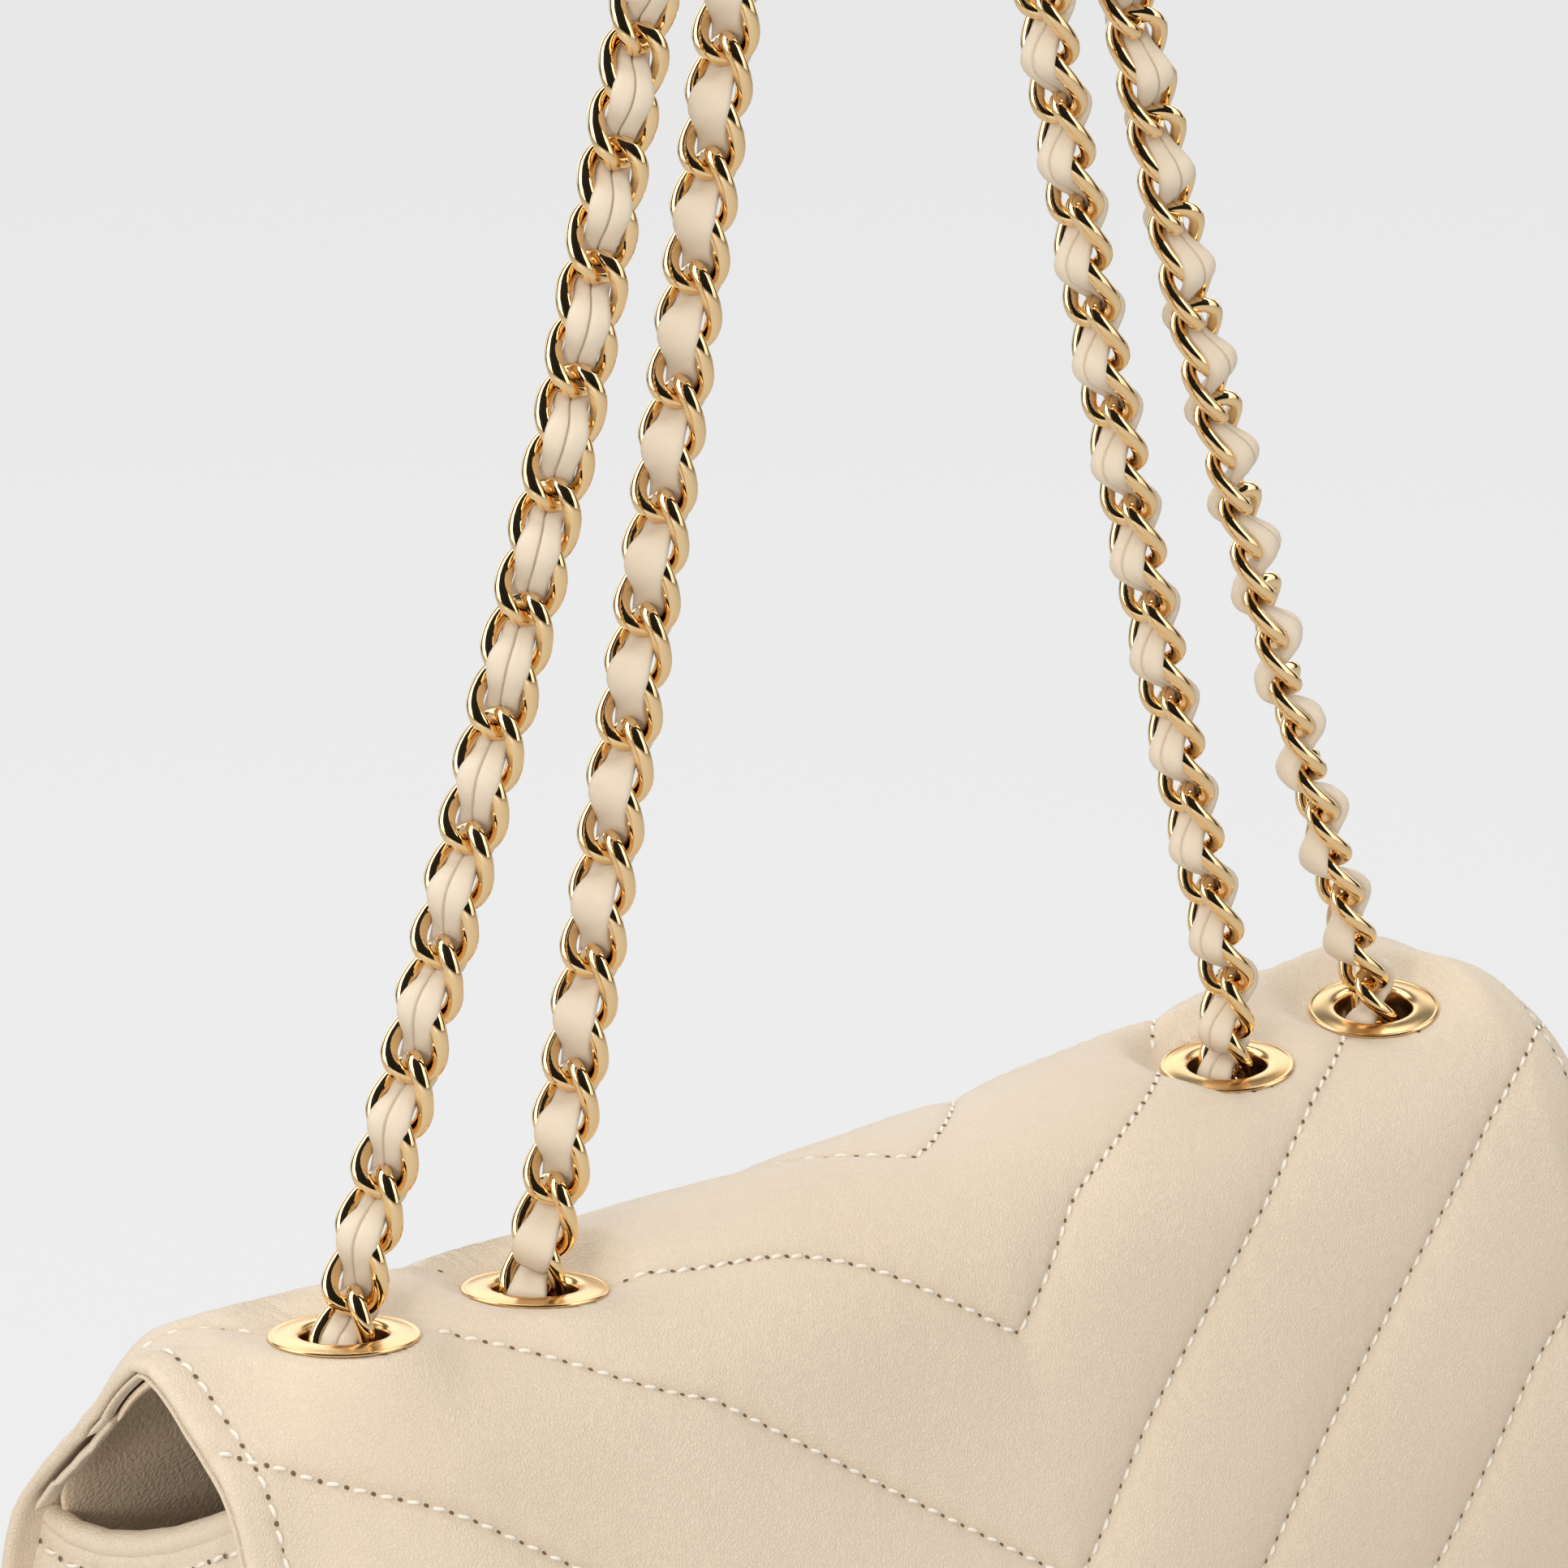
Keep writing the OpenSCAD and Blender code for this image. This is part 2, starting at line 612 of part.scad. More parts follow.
module zip_slider() color(gold) translate([slider_x, 0, zip_z]) {
    translate([-slider_l / 2, slider_y - slider_t, -slider_h / 2]) cube([slider_l, slider_t, slider_h]);
    for (s = [-1, 1]) {
        z = s * (slider_h / 2 - slider_t / 2) - slider_t / 2;
        translate([-slider_l / 2, slider_y, z]) cube([slider_l, tooth_t, slider_t]);
    }
    for (s = [-1, 1]) {
        z = s * (puller_w / 2 + fit + slider_t / 2) - slider_t / 2;
        translate([-pin_d, puller_y - pin_d, z]) cube([2 * pin_d, 2 * pin_d + fit, slider_t]);
    }
    translate([0, puller_y, -puller_w / 2 - slider_t]) cylinder(h = puller_w + 2 * slider_t, d = pin_d);
}
module zip_puller() color(gold) translate([slider_x, puller_y, zip_z]) difference() {
    union() {
        translate([0, 0, -puller_w / 2]) cylinder(h = puller_w, d = 2 * pin_d);
        translate([0, -pin_d / 2, -puller_w / 2]) cube([puller_l, pin_d, puller_w]);
    }
    translate([0, 0, -puller_w]) cylinder(h = 2 * puller_w, d = pin_d + fit);
    translate([puller_l - puller_w / 2, 0, 0]) rotate([90, 0, 0]) {
        cylinder(h = 2 * pin_d, d = puller_w / 2, center = true);
    }
}

chain_outer_left();
chain_outer_right();
chain_inner_left();
chain_inner_right();
ribbon_outer();
ribbon_inner();
back_panel();
back_lining();
eyelet_strip();
front_panel();
front_lining();
left_gusset();
right_gusset();
left_gusset_lining();
right_gusset_lining();
base_panel();
base_board();
base_lining();
left_rim_roll();
right_rim_roll();
front_rim_roll();
eyelet_outer_left();
eyelet_inner_left();
eyelet_inner_right();
eyelet_outer_right();
eyelet_washers();
inside_chain_left();
inside_chain_right();
inside_ribbon_left();
inside_ribbon_right();
snap_socket();
snap_socket_washer();
pocket_pouch();
zip_tape();
zip_teeth();
zip_stops();
flap_outer();
flap_lining();
flap_binding();
snap_stud();
snap_stud_washer();
zip_slider();
zip_puller();
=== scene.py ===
import math

import bpy
import numpy as np
from mathutils import Matrix, Vector


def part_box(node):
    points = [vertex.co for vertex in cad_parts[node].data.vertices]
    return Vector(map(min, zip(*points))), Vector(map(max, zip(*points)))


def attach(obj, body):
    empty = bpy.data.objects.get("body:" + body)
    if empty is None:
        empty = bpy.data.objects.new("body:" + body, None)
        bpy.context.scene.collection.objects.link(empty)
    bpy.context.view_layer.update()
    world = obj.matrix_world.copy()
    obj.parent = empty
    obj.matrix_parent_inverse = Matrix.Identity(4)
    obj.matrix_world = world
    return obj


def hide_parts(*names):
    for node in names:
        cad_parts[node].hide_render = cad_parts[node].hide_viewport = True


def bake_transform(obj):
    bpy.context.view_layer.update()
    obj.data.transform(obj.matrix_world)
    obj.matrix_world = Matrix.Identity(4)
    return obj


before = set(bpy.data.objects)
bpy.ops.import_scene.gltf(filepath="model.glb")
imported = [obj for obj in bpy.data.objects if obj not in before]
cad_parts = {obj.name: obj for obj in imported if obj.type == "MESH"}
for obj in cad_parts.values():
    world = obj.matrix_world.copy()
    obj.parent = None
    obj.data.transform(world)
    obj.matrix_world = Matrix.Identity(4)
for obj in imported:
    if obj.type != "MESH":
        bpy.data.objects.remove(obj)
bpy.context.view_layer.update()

bpy.context.scene.view_settings.view_transform = "Standard"

# Sizes in millimetres, in the frame of the CAD model: X along the bag, the flap
# faces -Y and Z is up. The origin is where the strap is carried.
MM = 0.001
CROWN_Z = -309.792
CROWN_R = 27.0
SHOULDER = math.radians(71.7)
SIDE_RUN = 36.0
BELLY_R = 130.0
BELLY_Y = 43.5129
BELLY_Z = -376.313
BASE_Z = -453.792
BASE_R = 14.0
FLAP_Z = -421.792
HALF_L = 135.0
BODY_HALF = 131.0
FRONT_IN = 4.7
EYELET_A = math.radians(8.51962)
EYELET_Y = -3.53961
SEAT_R = 25.0799
EYELETS = (-105.8, -71.4, 71.4, 105.8)
START_Z = -271.7


# Materials

class Value:
    """A socket of a shader, with which sums are written."""

    def __init__(self, tree, socket):
        self.tree = tree
        self.socket = socket

    def maths(self, operation, *terms):
        node = self.tree.nodes.new("ShaderNodeMath")
        node.operation = operation
        for place, term in zip(node.inputs, terms):
            feed(self.tree, place, term)
        return Value(self.tree, node.outputs[0])

    def __add__(self, other):
        return self.maths("ADD", self, other)

    def __radd__(self, other):
        return self.maths("ADD", other, self)

    def __sub__(self, other):
        return self.maths("SUBTRACT", self, other)

    def __rsub__(self, other):
        return self.maths("SUBTRACT", other, self)

    def __mul__(self, other):
        return self.maths("MULTIPLY", self, other)

    def __rmul__(self, other):
        return self.maths("MULTIPLY", other, self)

    def clamped(self):
        return self.maths("MINIMUM", self.maths("MAXIMUM", self, 0.0), 1.0)


def feed(tree, place, term):
    """Sets a socket: a value is linked, and a plain number or colour is written in it."""
    if isinstance(term, Value):
        tree.links.new(term.socket, place)
    elif term is not None:
        place.default_value = term


class Nodes:
    """A tree of shader nodes. One method adds any node to it."""

    def __init__(self, tree):
        self.tree = tree

    def node(self, kind, settings=None, output=0, terms=(), **inputs):
        """A node: its settings come first, then its sockets in order or by name."""
        node = self.tree.nodes.new(kind)
        for key, value in (settings or {}).items():
            if key == "stops":
                ramp = node.color_ramp
                while len(ramp.elements) < len(value):
                    ramp.elements.new(0.5)
                for element, (place, level) in zip(ramp.elements, value):
                    element.position = place
                    element.color = (level, level, level, 1.0)
            else:
                setattr(node, key, value)
        for place, term in zip(node.inputs, terms):
            feed(self.tree, place, term)
        for key, term in inputs.items():
            feed(self.tree, node.inputs[key.replace("_", " ")], term)
        return Value(self.tree, node.outputs[output])


class Finish(Nodes):
    """A material and its nodes."""

    def __init__(self, name, base, roughness, **fixed):
        self.material = bpy.data.materials.new(name)
        self.material.use_nodes = True
        self.material.diffuse_color = (*base, 1.0)
        super().__init__(self.material.node_tree)
        self.skin = self.tree.nodes["Principled BSDF"]
        self.set("Base Color", (*base, 1.0))
        self.set("Roughness", roughness)
        for socket, value in fixed.items():
            self.set(socket.replace("_", " "), value)

    def set(self, socket, term):
        feed(self.tree, self.skin.inputs[socket], term)

    def place(self):
        return self.node("ShaderNodeTexCoord", output="Object")

    def stretched(self, place, scale):
        return self.node("ShaderNodeMapping", Vector=place, Scale=scale)

    def noise(self, place, scale, detail=2.0, rough=0.5, distortion=0.0):
        return self.node("ShaderNodeTexNoise", Vector=place, Scale=scale, Detail=detail, Roughness=rough,
                         Distortion=distortion)

    def cells(self, place, scale):
        return self.node("ShaderNodeTexVoronoi", {"feature": "DISTANCE_TO_EDGE"}, Vector=place, Scale=scale)

    def wave(self, place, scale, distortion, direction):
        return self.node("ShaderNodeTexWave", {"wave_type": "BANDS", "bands_direction": direction},
                         Vector=place, Scale=scale, Distortion=distortion)

    def blend(self, share, first, second):
        """A colour that goes from the first to the second with a share."""
        node = self.tree.nodes.new("ShaderNodeMix")
        node.data_type = "RGBA"
        feed(self.tree, node.inputs[0], share)
        feed(self.tree, node.inputs[6], (*first, 1.0))
        feed(self.tree, node.inputs[7], (*second, 1.0))
        return Value(self.tree, node.outputs[2])

    def bump(self, height, depth, strength=1.0, normal=None):
        return self.node("ShaderNodeBump", Height=height, Distance=depth, Strength=strength, Normal=normal)

    def attribute(self, name):
        return self.node("ShaderNodeAttribute", {"attribute_name": name}, output="Fac")


def leather(name, base, shade, roughness, grain, depth, groove=False, sheen=0.15, creased=0.0):
    """Smooth leather: fine cells and creases, and a tone that drifts a little. With groove, painted shade
    darkens the grooves of its seams.
    """
    finish = Finish(name, base, roughness, Sheen_Weight=sheen, Sheen_Roughness=0.45, Specular_IOR_Level=0.42)
    place = finish.place()
    cells = finish.cells(place, grain)
    pores = finish.noise(place, grain * 2.1, 3.0, 0.6)
    creases = finish.noise(finish.stretched(place, (0.45, 1.0, 1.0)), grain * 0.55, 4.0, 0.62, 0.6)
    drift = finish.noise(place, 14.0, 2.0, 0.5)
    mask = (drift - 0.35) * 1.6 + (pores - 0.5) * 0.25
    # Painted shade: with groove, the seam layer darkens the grooves of the seams and of the row along the
    # edge.
    if groove:
        mask = mask + finish.attribute("seam") * 0.9
    finish.set("Base Color", finish.blend(mask.clamped(), base, shade))
    finish.set("Roughness", (roughness + (creases - 0.5) * 0.16 + (drift - 0.5) * 0.06).clamped())
    height = cells.maths("MINIMUM", cells * 4.0, 1.0) * 0.5 + creases * 0.8 + pores * 0.3
    normal = finish.bump(height, depth)
    if creased:
        normal = finish.bump(finish.wave(place, 420.0, 7.0, "DIAGONAL"), creased, 0.6, normal)
    finish.set("Normal", normal)
    return finish.material


def plated(name, base, roughness, wear=0.05):
    """Polished plate with faint handling marks."""
    finish = Finish(name, base, roughness, Metallic=1.0)
    place = finish.place()
    cloud = finish.noise(place, 160.0, 3.0, 0.6)
    lines = finish.noise(finish.stretched(place, (1.0, 1.0, 0.15)), 2600.0, 2.0, 0.5)
    finish.set("Roughness", (roughness + (cloud - 0.5) * wear + (lines - 0.5) * wear * 0.6).clamped())
    finish.set("Base Color", finish.blend((cloud - 0.3).clamped(), base, tuple(c * 0.9 for c in base)))
    finish.set("Normal", finish.bump(lines, 0.000004))
    return finish.material


CREAM_TONES = ((0.745, 0.615, 0.462), (0.690, 0.558, 0.405))
RIBBON_TONES = ((0.745, 0.625, 0.475), (0.690, 0.570, 0.425))
LINING_TONES = ((0.930, 0.740, 0.530), (0.830, 0.650, 0.450))
# CREAM paints shade into its seams' grooves; CREAM_PLAIN has no painted shade.
CREAM = leather("cream_leather", *CREAM_TONES, 0.42, 1700.0, 0.00012, groove=True)
CREAM_PLAIN = leather("cream_leather_plain", *CREAM_TONES, 0.42, 1700.0, 0.00012)
RIBBON = leather("ribbon_leather", *RIBBON_TONES, 0.44, 2200.0, 0.00003)
LINING = leather("greige_lining", *LINING_TONES, 0.50, 950.0, 0.00012, sheen=0.05, creased=0.00005)
GOLD = plated("pale_gold", (0.950, 0.680, 0.365), 0.06)
EYELET_GOLD = plated("eyelet_gold", (0.890, 0.610, 0.300), 0.22)
SATIN_GOLD = plated("satin_gold", (0.900, 0.700, 0.420), 0.24)
THREAD = Finish("cream_thread", (0.84, 0.77, 0.66), 0.6, Sheen_Weight=0.2).material
# Painted shade: the needle holes' dark colour stands in for the shade inside them.
HOLE = Finish("needle_hole_shade", (0.16, 0.105, 0.06), 0.9).material


def pressed_board(name, base, roughness):
    """Fibre board with a rough face."""
    finish = Finish(name, base, roughness)
    finish.set("Normal", finish.bump(finish.noise(finish.place(), 900.0, 4.0, 0.7), 0.0001))
    return finish.material


def woven(name, base, shade, scale):
    """Plain cloth of warp and weft, with painted shade in the troughs between the threads."""
    finish = Finish(name, base, 0.8, Sheen_Weight=0.3)
    place = finish.place()
    warp = finish.wave(place, scale, 0.6, "X")
    weft = finish.wave(place, scale, 0.6, "Z")
    height = warp * 0.5 + weft * 0.5
    # Painted shade: where the weave's height is low, between the threads, the cloth takes the darker colour.
    finish.set("Base Color", finish.blend(height.clamped(), shade, base))
    finish.set("Normal", finish.bump(height, 0.00012))
    return finish.material


BOARD = pressed_board("fibre_board", (0.22, 0.17, 0.12), 0.85)
TAPE = woven("zip_tape", (0.36, 0.29, 0.21), (0.22, 0.17, 0.12), 1500.0)
POCKET = woven("pocket_cloth", (0.40, 0.33, 0.25), (0.28, 0.22, 0.16), 1100.0)


# Meshes

def make(name, points, faces, material, layers=None, smooth=True):
    """An object from points in millimetres. layers are numbers for each point."""
    mesh = bpy.data.meshes.new(name)
    rings = [tuple(int(i) for i in face) for face in faces]
    mesh.from_pydata((np.asarray(points, float) * MM).tolist(), [], rings)
    mesh.materials.append(material)
    for key, values in (layers or {}).items():
        layer = mesh.attributes.new(key, "FLOAT", "POINT")
        layer.data.foreach_set("value", np.asarray(values, np.float32))
    mesh.polygons.foreach_set("use_smooth", [smooth] * len(mesh.polygons))
    mesh.update()
    piece = bpy.data.objects.new(name, mesh)
    bpy.context.scene.collection.objects.link(piece)
    return piece


def join(parts):
    """Points and faces of several parts in one."""
    points, faces, start = [], [], 0
    for part_points, part_faces in parts:
        points.append(np.asarray(part_points, float))
        faces.extend(tuple(start + i for i in face) for face in part_faces)
        start += len(part_points)
    return np.concatenate(points), faces


def unit(ways):
    """Vectors in rows, each made one long."""
    return ways / np.linalg.norm(ways, axis=-1)[..., None]


def ring_round(sides):
    """Cosine and sine of even turns round a ring."""
    turn = np.arange(sides) * 2 * math.pi / sides
    return np.cos(turn)[None, :, None], np.sin(turn)[None, :, None]


def tube_faces(rings, sides, closed=False):
    """Faces between rings of points; an open tube is capped."""
    faces = []
    last = rings if closed else rings - 1
    for i in range(last):
        a, b = i * sides, ((i + 1) % rings) * sides
        for j in range(sides):
            k = (j + 1) % sides
            faces.append((a + j, a + k, b + k, b + j))
    if not closed:
        faces.append(tuple(range(sides - 1, -1, -1)))
        faces.append(tuple((rings - 1) * sides + j for j in range(sides)))
    return faces


def tube(path, radius, sides, up=(0.0, 0.0, 1.0)):
    """A tube along points; radius may be a number for each point."""
    path = np.asarray(path, float)
    tangent = unit(np.vstack([path[1:], path[-1:]]) - np.vstack([path[:1], path[:-1]]))
    side = unit(np.cross(tangent, np.asarray(up, float)))
    over = np.cross(side, tangent)
    radius = np.broadcast_to(np.asarray(radius, float), (len(path),))
    cosine, sine = ring_round(sides)
    points = path[:, None, :] + radius[:, None, None] * (cosine * side[:, None, :] + sine * over[:, None, :])
    return points.reshape(-1, 3), tube_faces(len(path), sides)


def lathe(profile, steps, turn):
    """A turned ring from (radius, height) points of a closed profile."""
    profile = np.asarray(profile, float)
    rings = []
    for i in range(steps):
        a = 2 * math.pi * i / steps
        rings.append(np.stack([profile[:, 0] * math.cos(a), profile[:, 0] * math.sin(a), profile[:, 1]], 1))
    points = np.concatenate(rings)
    return turn(points), tube_faces(steps, len(profile), True)


def smooth_step(low, high, value):
    """0 to 1 between two places, level at both."""
    share = np.clip((np.asarray(value, float) - low) / (high - low), 0.0, 1.0)
    return share * share * (3 - 2 * share)


def hump(value, middle, reach):
    """1 at the middle and almost 0 at twice the reach."""
    return np.exp(-((value - middle) / reach) ** 2)


def softened(table, x):
    """A value between the points of a table, with its corners rounded off."""
    x = np.asarray(x, float)
    return sum(np.interp(x + shift, table[:, 0], table[:, 1]) for shift in (-4, -2, 0, 2, 4)) / 5


def drift_noise(seed, x, y, size):
    """Smooth noise between -1 and 1 over a plane, the same in each run."""
    cells = 64
    table = np.random.RandomState(seed).uniform(-1, 1, (cells, cells))
    u, v = np.asarray(x, float) / size + 17.3, np.asarray(y, float) / size + 29.1
    i, j = np.floor(u).astype(int), np.floor(v).astype(int)
    fu, fv = u - i, v - j
    fu, fv = fu ** 3 * (fu * (6 * fu - 15) + 10), fv ** 3 * (fv * (6 * fv - 15) + 10)

    def at(a, b):
        return table[a % cells, b % cells]

    return ((at(i, j) * (1 - fu) + at(i + 1, j) * fu) * (1 - fv)
            + (at(i, j + 1) * (1 - fu) + at(i + 1, j + 1) * fu) * fv)


# The bag's form

# How much higher than the plain bag the crown stands, from left to right: it sags
# in the middle
CREST = np.array([
    (-135, 4.5), (-128, 3.3), (-117, 2.4), (-105, 1.3), (-85, 0.7), (-60, -0.5), (-18, -1.5), (9, -0.7),
    (26, 0.4), (44, 1.2), (71, 3.5), (80, 4.6), (105, 5.1), (117, 5.8), (129, 6.5), (135, 7.0)], float)

# The open ends: places along the leather, from behind to the front, and where they lie
END_S = np.array([
    -95.0, -78.5, -63.1, -51.1, -44.6, -38.4, -32.2, -26.3, -19.9, -12.5, -7.0, -3.0, 4.6, 9.5, 15.4,
    18.6, 25.9])
END_YZ = np.array([
    (42.2, -356.0), (39.4, -340.0), (35.6, -325.0), (32.1, -313.3), (29.6, -307.1), (25.8, -302.7),
    (21.5, -298.2), (17.2, -294.1), (12.8, -289.5), (7.9, -283.9), (3.5, -280.6), (-0.3, -282.2),
    (-6.1, -286.9), (-10.1, -290.3), (-14.1, -294.3), (-15.8, -297.4), (-17.9, -303.9)])


def along_leather(y, z):
    """How far forward a place is along the crown's line, from the eyelets' line."""
    turn = np.arctan2(-y, z - CROWN_Z)
    over = np.clip(turn, -SHOULDER, SHOULDER)
    edge_z = CROWN_Z + CROWN_R * math.cos(SHOULDER)
    below = np.where(np.abs(turn) >= SHOULDER, np.maximum(edge_z - z, 0) / math.sin(SHOULDER), 0.0)
    return CROWN_R * (over - EYELET_A) + np.sign(-y) * below


def plain_place(s):
    """The crown's plain line at a place along it, behind the crest."""
    turn = s / CROWN_R + EYELET_A
    arc = np.maximum(turn, -SHOULDER)
    past = np.maximum(-SHOULDER - turn, 0) * CROWN_R
    y = -CROWN_R * np.sin(arc) + past * math.cos(SHOULDER)
    z = CROWN_Z + CROWN_R * np.cos(arc) - past * math.sin(SHOULDER)
    return y, z


# Across the crown: where the crest, the flat behind the eyelets and the right end's
# swell have their middle, and how far they reach
CREST_Y = (16, 9.5)
FLAT_Y = (1, 9)
SWELL_Y = (-5, 15)
FLAT_LEAST = 0.3
FLAT_X = (45, 65)
# The right end: it swells, then rolls down at its very edge
RIGHT_SWELL = 3.2
RIGHT_SWELL_X = (101, 121)
RIGHT_BUMP = 0.9
RIGHT_BUMP_X = (120, 4.5)
RIGHT_ROLL = 6.0
RIGHT_ROLL_X = (125.5, 137.0)
# The left end stands back by this much, and its front and back are drawn together
LEFT_BACK = 4.0
LEFT_NARROWS = 0.05
# Heights between which the settling comes in, at the sides and on the crown
SIDE_SETTLES = (-443, -313)
CROWN_SETTLES = (-333, -293)
# Where the open left end takes on its own line: across the bag in front and behind,
# and along the leather behind and in front
END_X_FRONT = (101, 134)
END_X_BEHIND = (118, 135)
END_S_BEHIND = (-95, -70)
END_S_FRONT = (120, 30)
END_SHIFT = END_YZ - np.stack(plain_place(END_S), 1)


def settle(points, crest=1.0):
    """Moves points of the plain bag to where the soft bag lies: its crown is flat
    and broad at the ends and sags in the middle, and its open ends are drawn in."""
    p = np.array(points, float)
    x, y, z = p[..., 0], p[..., 1], p[..., 2]
    left = x < 0
    end = np.where(left, (np.abs(x) / HALF_L) ** 3, 0.0)
    high = smooth_step(*SIDE_SETTLES, z)
    top = crest * smooth_step(*CROWN_SETTLES, z)
    s = along_leather(y, z)
    flat = FLAT_LEAST + smooth_step(*FLAT_X, np.abs(x))
    rise = softened(CREST, x) * hump(y, *CREST_Y) - flat * hump(y, *FLAT_Y)
    swell = RIGHT_SWELL * smooth_step(*RIGHT_SWELL_X, x) + RIGHT_BUMP * hump(x, *RIGHT_BUMP_X)
    rise += swell * hump(y, *SWELL_Y)
    rise -= RIGHT_ROLL * smooth_step(*RIGHT_ROLL_X, x)
    moved_y = end * high * (LEFT_BACK - LEFT_NARROWS * y)
    behind = smooth_step(0, -10, s)
    reach = smooth_step(*END_X_FRONT, np.abs(x)) * (1 - behind)
    reach = reach + smooth_step(*END_X_BEHIND, np.abs(x)) * behind
    give = np.where(left, reach * smooth_step(*END_S_BEHIND, s) * smooth_step(*END_S_FRONT, s), 0.0)
    p[..., 1] += moved_y * (1 - give) + np.interp(s, END_S, END_SHIFT[:, 0]) * give
    p[..., 2] += top * rise * (1 - give) + np.interp(s, END_S, END_SHIFT[:, 1]) * give
    return p


# How close the points of a line over the bag stand
PATH_STEP = 0.4


class Path:
    """A line over the crown in the YZ plane, measured from the eyelets' line,
    forwards down the front and backwards down the back."""

    def __init__(self, pieces):
        points, normals = [], []
        for kind, *rest in pieces:
            if kind == "arc":
                (cy, cz), r, a0, a1 = rest
                count = max(8, int(abs(a1 - a0) * abs(r) / PATH_STEP))
                a = np.linspace(a0, a1, count)
                points.append(np.stack([cy + r * np.sin(a), cz + r * np.cos(a)], 1))
                normals.append(np.stack([np.sin(a), np.cos(a)], 1))
            else:
                p0, p1, normal = rest
                count = max(4, int(math.dist(p0, p1) / PATH_STEP))
                t = np.linspace(0, 1, count)[:, None]
                points.append(np.array(p0) * (1 - t) + np.array(p1) * t)
                normals.append(np.repeat([normal], count, 0))
        self.p = np.concatenate(points)
        self.n = np.concatenate(normals)
        step = np.linalg.norm(np.diff(self.p, axis=0), axis=1)
        keep = np.concatenate([[True], step > 1e-6])
        self.p, self.n = self.p[keep], self.n[keep]
        self.s = np.concatenate([[0], np.cumsum(np.linalg.norm(np.diff(self.p, axis=0), axis=1))])

    def start_at(self, y, z):
        near = np.argmin(np.linalg.norm(self.p - np.array([y, z]), axis=1))
        self.s = self.s - self.s[near]
        return self

    def at(self, s):
        s = np.asarray(s, float)
        p = np.stack([np.interp(s, self.s, self.p[:, 0]), np.interp(s, self.s, self.p[:, 1])], -1)
        n = np.stack([np.interp(s, self.s, self.n[:, 0]), np.interp(s, self.s, self.n[:, 1])], -1)
        return p, unit(n)


def side_pieces(sign, depth):
    """Crown's shoulder, side and belly, down to where the side is upright."""
    r = CROWN_R - depth
    shoulder = (sign * r * math.sin(SHOULDER), CROWN_Z + r * math.cos(SHOULDER))
    slope = (sign * math.cos(SHOULDER), -math.sin(SHOULDER))
    foot = (shoulder[0] + SIDE_RUN * slope[0], shoulder[1] + SIDE_RUN * slope[1])
    normal = (sign * math.sin(SHOULDER), math.cos(SHOULDER))
    centre = (sign * (BELLY_Y - BELLY_R), BELLY_Z)
    return [("line", shoulder, foot, normal),
            ("arc", centre, BELLY_R - depth, sign * SHOULDER, sign * math.pi / 2)]


def reversed_pieces(pieces):
    turned = []
    for kind, *rest in reversed(pieces):
        if kind == "arc":
            centre, r, a0, a1 = rest
            turned.append((kind, centre, r, a1, a0))
        else:
            p0, p1, normal = rest
            turned.append((kind, p1, p0, normal))
    return turned


def bag_path(depth, front_z=FLAP_Z):
    """From the base behind, up the back, over the crown and down the flap."""
    y = BELLY_Y - depth
    corner = (BELLY_Y - BASE_R, BASE_Z + BASE_R)
    back = [("arc", corner, BASE_R - depth, math.pi, math.pi / 2),
            ("line", (y, corner[1]), (y, BELLY_Z), (1, 0))]
    back += reversed_pieces(side_pieces(1, depth))
    crown = [("arc", (0, CROWN_Z), CROWN_R - depth, SHOULDER, -SHOULDER)]
    front = side_pieces(-1, depth) + [("line", (-y, BELLY_Z), (-y, front_z), (-1, 0))]
    r = CROWN_R - depth
    return Path(back + crown + front).start_at(-r * math.sin(EYELET_A), CROWN_Z + r * math.cos(EYELET_A))


BAG = bag_path(0.0)
S_FLAP = float(BAG.s[-1])
S_BASE = float(BAG.s[0])

# Chevron stitching: each row keeps the same sum of its place along the leather and
# SLOPE times its distance from the middle
SLOPE = 0.69
APEX_ROUND = 0.3
ROW_GAP = 35.5
ROW_START = -2.2
ACROSS = 1 / math.hypot(1, SLOPE)


def apex_round(x):
    """Distance from the bag's middle, rounded where the two slopes meet."""
    return np.sqrt(np.asarray(x, float) ** 2 + APEX_ROUND)


# Sheets of leather

SEAT_UP = np.array([0.0, -math.sin(EYELET_A), math.cos(EYELET_A)])
# How far each eyelet leans to the right and forwards, in degrees
SEAT_LEAN = ((2.3, -2.2), (3.7, -2.0), (-5.9, 3.3), (-9.0, 6.2))
SEAT_RISE = (1.2, -0.8, -0.7, 1.0)
# Distances from an eyelet's axis over which the leather is freed from its seat
SEAT_HOLDS = (9.5, 15.5)
SEAT_CLAMPS = (9.8, 16.5)
# How far under its seat an eyelet still counts as near
SEAT_REACH = 18
# Heights on the eyelets' axes to which the leather's two faces are clamped
FACE_SEAT = -0.05
UNDER_SEAT = -1.25


def seat_of(k):
    """The middle of an eyelet's seat and its axis, which leans with the sagging crown."""
    right, forward = (math.radians(a) for a in SEAT_LEAN[k])
    axis = np.array([math.tan(right), -math.tan(forward), 1.0])
    axis /= np.linalg.norm(axis)
    return np.array([EYELETS[k], 0.0, CROWN_Z + SEAT_RISE[k]]) + SEAT_UP * SEAT_R, axis


def from_eyelets(points):
    """Distance of points from the nearest eyelet's axis, and height on that axis."""
    nearest = np.full(points.shape[:-1], 1e6)
    height = np.zeros(points.shape[:-1])
    way = np.zeros(points.shape)
    for k in range(len(EYELETS)):
        middle, axis = seat_of(k)
        reach = points - middle
        up = reach @ axis
        away = np.linalg.norm(reach - up[..., None] * axis, axis=-1)
        closer = (away < nearest) & (up > -SEAT_REACH)
        nearest = np.where(closer, away, nearest)
        height = np.where(closer, up, height)
        way = np.where(closer[..., None], axis, way)
    return nearest, height, way


